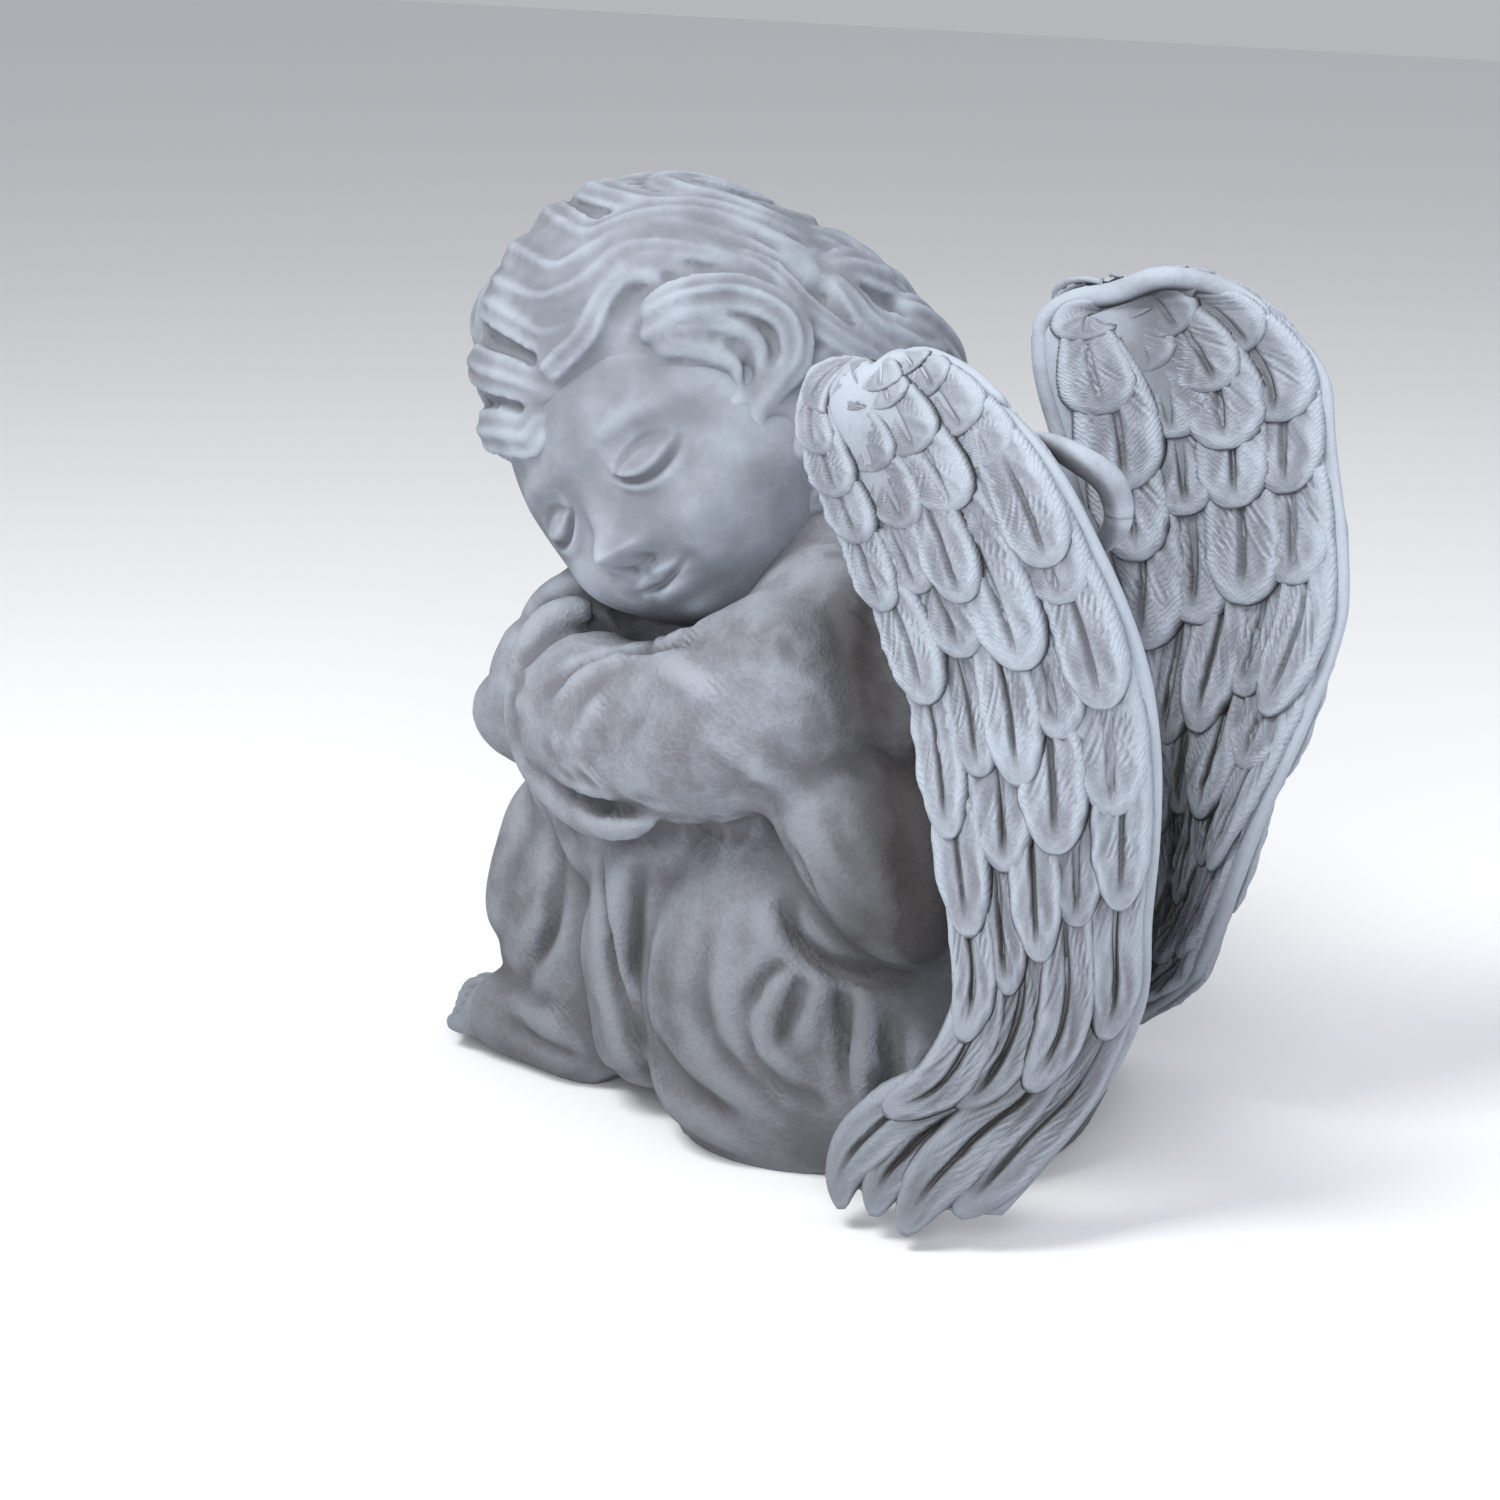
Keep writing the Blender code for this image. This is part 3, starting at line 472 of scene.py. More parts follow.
@dataclass
class RobedBody:
    """The seated body in its robe, with bare feet below the hem."""

    mass_grid: float = 2.4
    skin_grid: float = 1.35
    mass_smoothing: int = 12
    fold_smoothing: int = 3
    crust_depth: float = 1.0
    crinkle_sizes: tuple[float, float] = (8.0, 6.0)
    crinkle_widths: tuple[float, float] = (0.27, 0.30)
    patch_size: float = 17.0
    toes: int = 5
    first_toe: float = 3.0
    toe_step: float = 5.6
    toe_back: float = 2.8
    toe_width: float = 5.0
    toe_taper: float = 0.45
    toe_gap_width: float = 1.9
    toe_gap_depth: float = 4.4
    hem_ahead: float = -94.0
    hem_height: float = 20.0

    def shape_masses(self, clay: Clay) -> None:
        """Add hips, back, shoulders, neck, thighs, skirt, sleeves and the roots of the wings.

        Args:
            clay: Where they are added.
        """
        clay.add_ellipsoid((0, 32, 26), (58, 42, 44), Zone.CLOTH)
        clay.add_ellipsoid((0, 36, 84), (52, 36, 62), Zone.CLOTH)
        clay.add_limb([(-44, 18, 128, 25, 25), (0, 14, 138, 26, 26), (44, 18, 128, 25, 25)], Zone.CLOTH)
        clay.add_limb([(0, 10, 136, 28, 28), (2, -14, 160, 26, 26)], Zone.CLOTH)
        for side in (1, -1):
            clay.add_ellipsoid((23 * side, 6, 37), (40, 42, 60), Zone.CLOTH)
            thigh = [(24 * side, -4, 60, 26, 26), (18 * side, -48, 80, 23, 22), (12 * side, -84, 86, 16, 14)]
            clay.add_limb(thigh, Zone.CLOTH, cap=0.3)
            shin = [(34 * side, -30, 84, 14, 14), (34 * side, -36, 40, 15, 16), (34 * side, -34, 6, 14, 14)]
            clay.add_limb(shin, Zone.CLOTH, up=(0, 1, 0))
            waist = [(45 * side, 20, 112, 16, 17), (46 * side, 31, 90, 16, 17)]
            waist += [(45 * side, 44, 75, 15, 16), (41 * side, 60, 70, 15, 15)]
            clay.add_limb(waist, Zone.CLOTH, up=(1, 0, 0), cap=0.25)
            clay.add_ellipsoid((38 * side, 50, 92), (18, 20, 26), Zone.CLOTH)
            root = [(20 * side, 30, 130, 20, 34), (40 * side, 42, 138, 14, 30), (54 * side, 50, 144, 8, 26)]
            clay.add_limb(root, Zone.CLOTH, cap=0.2)
        clay.add_limb(SKIRT, Zone.CLOTH, up=(0, 1, 0), cap=0.12)
        clay.add_ellipsoid((2, -30, 72), (44, 44, 26), Zone.CLOTH)
        clay.add_limb(LEFT_SLEEVE, Zone.CLOTH)
        clay.add_limb(RIGHT_SLEEVE, Zone.CLOTH, cap=0.2)
        clay.add_limb(RIGHT_KNEE, Zone.CLOTH, cap=0.3)
        chest = [(-24, -34, 122, 26, 20), (26, -30, 122, 24, 18)]
        clay.add_limb(chest, Zone.CLOTH, cap=0.4)
        crossed_arms = [(-30, -56, 124, 20, 16), (4, -66, 126, 18, 14), (20, -62, 122, 12, 12)]
        clay.add_limb(crossed_arms, Zone.CLOTH, cap=0.3)

    def shape_folds(self, clay: Clay) -> None:
        """Add the rolled edge of the sleeve, the loose fold by the chin and the drop over the feet.

        Args:
            clay: Where they are added.
        """
        clay.add_limb(SLEEVE_RIM, Zone.CLOTH, cap=0.12)
        clay.add_ellipsoid((14, -64, 118), (20, 13, 14), Zone.CLOTH)
        leaf = [(14, -60, 138, 8, 4), (9, -72, 131, 12, 6), (4, -84, 119, 10, 6), (2, -90, 112, 5, 4)]
        clay.add_limb(leaf, Zone.CLOTH, cap=0.2)
        cuff = [(2, -80, 122, 13, 11), (8, -84, 106, 17, 13), (16, -80, 92, 16, 12)]
        clay.add_limb(cuff, Zone.CLOTH, up=(0, 1, 0), cap=0.3)
        drop = [(10, -79, 82, 10, 8), (12, -83, 60, 13, 11), (13, -85, 42, 15, 12), (14, -82, 26, 13, 10)]
        clay.add_limb(drop, Zone.CLOTH, up=(0, 1, 0), cap=0.3)
        clay.add_limb([(-x, y + 2, z, w, d) for x, y, z, w, d in drop], Zone.CLOTH, up=(0, 1, 0), cap=0.3)

    def shape_foot(self, clay: Clay, side: int) -> None:
        """Add a bare foot with its toes.

        Args:
            clay: Where the foot is added.
            side: 1 for the left foot and -1 for the right.
        """
        sole = [(26 * side, -48, 11, 15, 13), (20 * side, -78, 13, 15, 14), (14 * side, -102, 9, 16, 9)]
        clay.add_limb(sole, Zone.SKIN, cap=0.3)
        for toe in range(self.toes):
            across, ahead = side * (self.first_toe + self.toe_step * toe), -117 + self.toe_back * toe
            width = self.toe_width - self.toe_taper * toe
            knuckle = (across + 2 * side, ahead + 16, 9, width, width)
            tip = (across, ahead, 6.5, width, width * 1.05)
            clay.add_limb([knuckle, tip], Zone.SKIN, cap=0.4, rings=20, sides=16)

    def tool_folds(self, obj: bpy.types.Object) -> None:
        """Work the folds' strokes into both sides of the skin.

        Args:
            obj: The skin of the body.
        """
        for path, width, depth in LEFT_STROKES:
            for side in (1, -1):
                press(obj, np.array(path, float) * (side, 1, 1), width, depth)

    def part_toes(self, obj: bpy.types.Object) -> None:
        """Press a stroke from the instep over the front between each two toes.

        Args:
            obj: The skin of the body.
        """
        for gap in range(self.toes - 1):
            across = self.first_toe + self.toe_step * (gap + 0.5)
            ahead, top = -104 + self.toe_back * gap, 4.8 - self.toe_taper * gap
            for side in (1, -1):
                path = [(side * (across + 1), ahead + 4, top + 9), (side * across, ahead - 8, top + 7.4)]
                path += [(side * across, ahead - 16, top + 3), (side * across, ahead - 18, 2)]
                press(obj, np.array(path, float), self.toe_gap_width, self.toe_gap_depth)

    def roughen(self, obj: bpy.types.Object) -> None:
        """Roughen the crust, most of all in patches of the sleeves.

        The crust is a bell curve of a bent noise, so that thin crinkled ridges follow the lines on
        which the noise is zero.

        Args:
            obj: The skin of the body.
        """
        points = read_points(obj.data)
        sleeve = np.maximum(stroke_mask(points, LEFT_SLEEVE), stroke_mask(points, RIGHT_SLEEVE))
        bent = points + 2.5 * np.stack([stone_noise(points, 9.0, seed) for seed in (21, 22, 23)], axis=-1)
        (broad, fine), (broad_width, fine_width) = self.crinkle_sizes, self.crinkle_widths
        crinkles = bell(stone_noise(bent, broad, 3), broad_width)
        crinkles = crinkles + 0.6 * bell(stone_noise(bent, fine, 8), fine_width)
        patches = np.clip(0.55 + stone_noise(points, self.patch_size, 31), 0.1, 1)
        lift = self.crust_depth * (0.3 + 0.7 * sleeve) * patches * (crinkles - 0.3)
        write_points(obj.data, points + read_points(obj.data, "normal") * lift[:, None])

    def name_zones(self, obj: bpy.types.Object) -> None:
        """Make the faces ahead of the hem and below it bare skin, and all others cloth.

        Args:
            obj: The skin of the body.
        """
        centres = read_faces(obj.data, "center", 3)
        bare = (centres[:, 1] < self.hem_ahead) & (centres[:, 2] < self.hem_height)
        zones = np.where(bare, Zone.SKIN.value, Zone.CLOTH.value).astype(np.int32)
        obj.data.polygons.foreach_set("material_index", zones)

    def build(self) -> bpy.types.Object:
        """Return the body: its masses fused, the folds and feet fused on, and the skin tooled.

        Returns:
            The object of the body.
        """
        masses = Clay()
        self.shape_masses(masses)
        body = masses.to_object("masses")
        fuse(body, self.mass_grid, self.mass_smoothing)
        clay = Clay()
        clay.add_mesh(body, Zone.CLOTH)
        self.shape_folds(clay)
        for side in (1, -1):
            self.shape_foot(clay, side)
        skin = clay.to_object("angel_body")
        fuse(skin, self.skin_grid, self.fold_smoothing)
        bpy.data.objects.remove(body)
        self.tool_folds(skin)
        self.part_toes(skin)
        self.roughen(skin)
        self.name_zones(skin)
        return skin


def stroke_mask(points: Array, rows: Array) -> Array:
    """Return 1 on the limb with those rows, falling to 0 over a third of its half width outside.

    Args:
        points: Places, shaped (count, 3).
        rows: Rows of a limb.

    Returns:
        A share from 0 to 1 at each place.
    """
    line = smooth_curve(rows, 40)
    apart = np.linalg.norm(points[:, None] - line[None, :, :3], axis=2)
    over = (apart / line[None, :, 3]).min(1)
    return np.clip((1.45 - over) / 0.33, 0, 1)


# Head and hair

# Locks as rows of (degrees round the forward line from the crown to the left, degrees back from the
# face), then half width and height
LOCKS = (
    (((64, 42), (72, 54), (81, 65), (91, 70), (99, 67), (105, 58), (111, 52), (121, 55)), 5.5, 7.0),
    (((68, 38), (76, 49), (84, 57), (93, 60), (100, 57), (105, 51)), 3.2, 4.5),
    (((74, 38), (86, 48), (95, 52), (103, 50)), 3.0, 3.2),
    (((20, 20), (36, 25), (46, 32), (47, 41), (51, 50), (60, 52), (68, 46)), 5.0, 6.0),
    (((-19, 56), (8, 36), (30, 30), (44, 35), (48, 46), (55, 56), (68, 60), (78, 66)), 5.5, 5.5),
    (((-34, 50), (-24, 34), (0, 21), (26, 17), (46, 20)), 5.5, 6.0),
    (((-58, 46), (-52, 30), (-40, 15), (0, 11), (36, 12)), 6.0, 6.5),
    (((-14, 62), (4, 46), (26, 39), (39, 44), (47, 56), (60, 64), (74, 72), (90, 78), (104, 90)), 5.5, 5.5),
    (((-8, 70), (10, 54), (28, 47), (37, 53), (45, 64), (58, 72), (72, 80), (86, 90)), 5.5, 5.5),
    (((2, 80), (20, 62), (33, 57), (43, 66), (56, 78), (70, 88), (84, 102)), 5.5, 5.5),
    (((10, 88), (28, 74), (42, 72), (54, 82), (68, 96), (82, 114)), 5.5, 5.0),
    (((30, 90), (44, 84), (58, 92), (72, 106), (84, 124)), 5.5, 5.0),
    (((66, 68), (78, 74), (90, 76), (101, 84), (110, 98), (118, 116)), 5.0, 4.5),
    (((84, 94), (96, 94), (106, 104), (116, 118), (126, 134)), 6.0, 5.0),
    (((124, 58), (120, 72), (116, 88), (124, 104), (134, 116)), 6.0, 5.5),
    (((140, 60), (134, 78), (132, 96), (140, 112), (150, 122)), 6.0, 5.0),
    (((108, 104), (120, 112), (133, 114), (142, 122), (138, 132), (128, 134)), 7.0, 9.0),
    (((96, 112), (106, 124), (118, 130), (130, 128), (138, 118)), 6.5, 8.0),
    (((126, 98), (138, 104), (150, 112), (156, 124), (148, 132)), 7.0, 9.0),
    (((84, 120), (96, 136), (112, 144), (130, 144)), 6.5, 7.0),
)


@dataclass
class Head:
    """A sleeping child's head with thick wavy hair.

    Places of the head are (left, forward, up) from the skull's middle.
    """

    centre: tuple[float, float, float] = (5.0, -38.0, 176.0)
    forward: tuple[float, float, float] = (0.98, -0.05, -0.10)
    up: tuple[float, float, float] = (0.05, -0.61, 0.79)
    half_width: float = 45.0
    half_depth: float = 49.0
    half_height: float = 52.0
    hair_thickness: float = 9.0
    hair_shift: tuple[float, float, float] = (-2.5, -12.0, 8.5)
    hair_swells: tuple[tuple[float, float, float, float, float], ...] = (
        (-0.73, 0.63, -0.21, -9.0, 0.55), (0.70, -0.36, 0.60, -7.0, 0.36), (0.66, -0.64, -0.38, 7.0, 0.30),
    )
    eye_apart: float = 17.5
    eye_height: float = -4.0
    nose_height: float = -18.5
    mouth_height: float = -30.0
    chin_height: float = -42.0
    back_locks: int = 11
    hair_grid: float = 0.95
    hair_smoothing: int = 2

    def axes(self) -> Array:
        """Return the directions to the head's left, forward and up.

        Returns:
            The three directions as rows.
        """
        forward = unit(self.forward)
        up = unit(np.asarray(self.up) - np.dot(self.up, forward) * forward)
        return np.array([np.cross(up, forward), forward, up])

    def to_figure(self, local: Array) -> Array:
        """Turn places of the head into places of the figure."""
        return np.asarray(self.centre) + np.asarray(local, float) @ self.axes()

    def face_relief(self, left: Array, up: Array) -> Array:
        """Return how far the face stands out of the plain ovoid, as a calm child's at rest.

        Each feature is a height times bell curves of the distances to its place. The lids and
        the lips meet in lines, which are bell curves of the distance to a bent line.

        Args:
            left: Distance to the left of the face's middle.
            up: Distance above the middle of the head.

        Returns:
            The height of the relief in millimetres.
        """
        across = np.abs(left)
        eye, nose, mouth, chin = self.eye_height, self.nose_height, self.mouth_height, self.chin_height
        beside = across - self.eye_apart
        rise = 7.0 * bell(across - 23, 12) * bell(up - (nose - 4), 11)
        rise += 8.0 * bell(left, 10) * bell(up - chin, 7.5) + 2.0 * bell(left, 26) * bell(up - 24, 16)
        rise -= 3.2 * bell(beside, 10) * bell(up - (eye + 2), 7.5)
        rise += 1.9 * bell(beside, 11) * bell(up - (eye + 12 - 0.012 * beside ** 2), 3.4)
        rise += 3.6 * bell(beside, 8.5) * bell(up - eye, 5.2)
        lash = eye - 2.6 + 0.05 * beside ** 2 - 0.05 * beside
        near_eye = np.clip(1 - (beside / 9.5) ** 4, 0, 1)
        overhang = 1 / (1 + np.exp(-(up - lash) / 0.35)) * bell(np.clip(up - lash, 0, None), 5.0)
        lid = 2.0 * overhang - 1.9 * bell(up - (lash - 0.9), 0.9) + 1.0 * bell(up - (lash - 3.2), 1.6)
        rise += near_eye * lid
        rise -= 1.1 * near_eye * bell(up - (eye + 5.0 - 0.05 * beside ** 2), 1.1)
        length = np.clip((eye + 7 - up) / (eye + 7 - nose), 0, 1)
        under = np.clip((up - nose + 5.5) / 5, 0, 1)
        bridge = (1.5 + 8.0 * length ** 1.3) * bell(left, 4.0 + 1.4 * length)
        rise += bridge * under * bell((up - eye).clip(0), 8)
        rise += 5.2 * bell(left, 5.2) * bell(up - (nose + 0.6), 4.6)
        rise += 3.8 * bell(across - 6.4, 2.8) * bell(up - (nose - 1.0), 3.1)
        rise -= 2.6 * bell(across - 3.3, 1.6) * bell(up - (nose - 4.6), 1.3)
        rise += 4.2 * bell(left, 15) * bell(up - mouth, 10)
        rise += 2.3 * bell(across - 3.4, 4.6) * bell(up - (mouth + 2.7 - 0.03 * across ** 2), 1.9)
        rise += 3.0 * bell(left, 6.2) * bell(up - (mouth - 3.2), 2.4)
        seam = mouth + 0.014 * across ** 2 - 0.6 * bell(left, 2.4)
        rise -= 2.4 * np.clip(1 - (across / 10.0) ** 4, 0, 1) * bell(up - seam, 0.85)
        rise -= 1.4 * bell(across - 10.6, 2.2) * bell(up - (mouth + 1.4), 2.2)
        rise -= 0.9 * bell(left, 1.6) * bell(up - (mouth + 6.6), 2.4)
        rise -= 1.8 * bell(left, 8) * bell(up - (mouth - 7.2), 2.3)
        rise += 1.8 * bell(across - 14, 5.0) * bell(up - (mouth - 1), 6)
        return rise

    def skull(self, clay: Clay) -> None:
        """Add the head's skin: an ellipsoid round the forward line, its front pushed out by the relief.

        The rings are close over the face and far apart under the hair. The relief fades with the
        forward share of the place to the power 0.6.

        Args:
            clay: Where it is added.
        """
        face, under_hair = np.linspace(0.006, 1.75, 190), np.linspace(1.85, math.pi - 0.02, 14)
        polar = np.concatenate([face, under_hair])[:, None]
        turn = np.linspace(0, 2 * math.pi, 200, endpoint=False)[None, :]
        left = self.half_width * np.sin(polar) * np.cos(turn)
        ahead = self.half_depth * np.cos(polar) + 0 * turn
        up = self.half_height * np.sin(polar) * np.sin(turn)
        jaw = 1 - 0.10 * np.clip(-(up + 14) / 38, 0, 1) ** 1.5
        front = np.clip(np.cos(polar), 0, 1) ** 0.6
        local = np.stack([left * jaw, ahead + self.face_relief(left * jaw, up) * front, up], axis=-1)
        clay.add_rings(self.to_figure(local), Zone.SKIN)

    def hair_place(self, around: Array, back: Array) -> Array:
        """Return places on the hair from two angles: an ellipsoid with bell-shaped swells.

        Args:
            around: Angle round the forward line, from the crown to the left.
            back: Angle from the face to the back of the head.

        Returns:
            Places of the head, one for each pair of angles.
        """
        along = np.stack([np.sin(back) * np.sin(around), np.cos(back), np.sin(back) * np.cos(around)], -1)
        radii = np.array([self.half_width, self.half_depth, self.half_height]) + self.hair_thickness
        swell = np.zeros(along.shape[:-1])
        for left, ahead, up, height, spread in self.hair_swells:
            aside = np.linalg.norm(along - unit((left, ahead, up)), axis=-1)
            swell = swell + height * bell(aside, spread)
        return along * (radii + swell[..., None]) + np.asarray(self.hair_shift)

    def cap(self, clay: Clay) -> None:
        """Add the hair's cap: its ellipsoid with waves that run back.

        The waves are sines of the turn, bent by sines of the angle from the face, and fade towards
        the face and the nape.

        Args:
            clay: Where it is added.
        """
        polar = np.linspace(0.02, math.pi - 0.02, 90)[:, None]
        turn = np.linspace(0, 2 * math.pi, 150, endpoint=False)[None, :]
        local = self.hair_place(turn + 0 * polar, polar + 0 * turn) - np.asarray(self.hair_shift)
        waves = 1.3 * np.sin(17 * turn + 3.0 * np.sin(3 * polar))
        waves = waves + 0.6 * np.sin(41 * turn + 5 * np.sin(4 * polar + 2))
        waves = waves * np.clip((polar - 0.5) / 0.4, 0, 1) * np.clip((math.pi - 0.3 - polar) / 0.5, 0, 1)
        radius = np.linalg.norm(local, axis=-1, keepdims=True)
        local = local * (1 + waves[..., None] / radius)
        strands = np.stack(np.broadcast_arrays(turn * 9, polar * 0.5), axis=-1)
        clay.add_rings(self.to_figure(local + np.asarray(self.hair_shift)), Zone.HAIR, strands)

    def lock(self, clay: Clay, places: Array, width: float, height: float, strands: int = 4) -> None:
        """Add one wavy lock that lies on the hair and ends in a point.

        Its section is a half round, grooved by the cosine of the angle round it, and it sways from
        side to side a little less than its width.

        Args:
            clay: Where the lock is added.
            places: Rows of the two hair angles in degrees.
            width: Half its width.
            height: Its height.
            strands: The number of ridges across it.
        """
        steps, sides = 44, 26
        path = smooth_curve([(a, b, 0.0) for a, b in places], steps)
        line = self.to_figure(self.hair_place(np.radians(path[:, 0]), np.radians(path[:, 1])))
        normal = unit(line - self.to_figure(self.hair_shift))
        along = unit(np.gradient(line, axis=0))
        across = unit(np.cross(normal, along))
        u = np.linspace(0, 1, steps)
        fullness = np.clip(1 - ((0.18 - u).clip(0) / 0.19) ** 2, 0.002, 1) ** 0.5
        fullness = fullness * np.clip(1 - ((u - 0.3).clip(0) / 0.72) ** 2, 0.01, 1)
        turn = np.linspace(0, 2 * math.pi, sides, endpoint=False)
        ridges = 1 + 0.16 * np.cos(2 * strands * turn)[None, :] * np.clip(fullness, 0, 1)[:, None]
        clay.add_rings(
            line[:, None]
            + across[:, None] * (1.2 * width * fullness[:, None] * np.cos(turn) * ridges)[..., None]
            + normal[:, None] * (0.85 * height * fullness[:, None] * np.sin(turn) * ridges)[..., None],
            Zone.HAIR,
            np.stack(np.broadcast_arrays(turn[None, :] * 1.3, u[:, None]), axis=-1),
        )

    def hair(self, clay: Clay) -> None:
        """Add the cap, the locks of the left side, and plainer ones on the right and over the back.

        Args:
            clay: Where they are added.
        """
        self.cap(clay)
        for places, width, height in LOCKS:
            self.lock(clay, places, width, height)
        for k in range(self.back_locks):
            around, sway = -36 - 16 * k, 6 * math.sin(2.6 * k)
            start = 62 + 16 * math.sin(math.radians(k * 180 / self.back_locks)) + 5 * math.sin(2 * k)
            front = [(around, start), (around + 9, start + 18)]
            front += [(around + 10 + sway, start + 38), (around, 128)]
            self.lock(clay, front, 7.0, 6.0)
        for k in range(2 * self.back_locks):
            around, sway = 16.4 * k, 7 * math.sin(2.1 * k)
            nape = [(around, 98 + 6 * math.sin(2 * k)), (around + 12 + sway, 120)]
            nape += [(around - 2, 140), (around + 24, 160)]
            self.lock(clay, nape, 7.0, 6.0)

    def build(self) -> list[bpy.types.Object]:
        """Return the fine skin of the head, and its hair fused into one soft carving round it.

        Returns:
            The objects of the head and of the hair.
        """
        skin, locks = Clay(), Clay()
        self.skull(skin)
        self.hair(locks)
        hair = locks.to_object("angel_hair")
        fuse(hair, self.hair_grid, self.hair_smoothing)
        return [skin.to_object("angel_head"), hair]


# Wings: rows of (y, z, x) from the top of the left wing to its lowest feathers

WING_FRONT = (
    (44, 207, 60), (36, 205, 58.5), (28.5, 199, 57), (29, 189, 55.5), (35, 173, 54), (41, 158, 53.5),
    (50, 138, 53.5), (56.5, 116, 54), (61, 98, 55.5), (66, 80, 58), (70, 63, 62), (64, 41, 66), (49, 27, 68),
    (41, 12, 69.5), (44, 1, 70.5),
)
WING_BACK = (
    (52, 213, 61), (68, 211, 66), (82, 204, 68), (95, 191, 68), (102, 177, 65), (108, 161, 60.5),
    (112, 145, 56.5), (113.5, 128, 53), (111.5, 103, 47), (108, 82, 42), (105, 58, 38), (99, 38, 44),
    (92, 22, 57), (79, 1, 70),
)
# The rows of feathers on each face: the ways at which a row starts and ends at the front edge, its
# number of feathers, and how much sooner it ends towards the back edge
OUTER_ROWS = (
    (0.018, 0.075, 4, 0.01), (0.045, 0.12, 4, 0.03), (0.075, 0.175, 4, 0.03), (0.115, 0.24, 4, 0.05),
    (0.16, 0.315, 5, 0.06),
    (0.22, 0.415, 4, 0.10), (0.31, 0.55, 5, 0.15), (0.40, 0.655, 4, 0.16), (0.50, 0.77, 5, 0.19),
    (0.58, 0.90, 4, 0.15), (0.66, 1.0, 4, 0.0),
)
INNER_ROWS = (
    (0.045, 0.125, 4, 0.02), (0.08, 0.20, 4, 0.03), (0.12, 0.28, 4, 0.04), (0.18, 0.36, 4, 0.05),
    (0.26, 0.475, 4, 0.07), (0.36, 0.615, 5, 0.10), (0.48, 0.71, 4, 0.10), (0.56, 0.80, 5, 0.10),
    (0.64, 0.90, 4, 0.08), (0.70, 1.0, 4, 0.06),
)


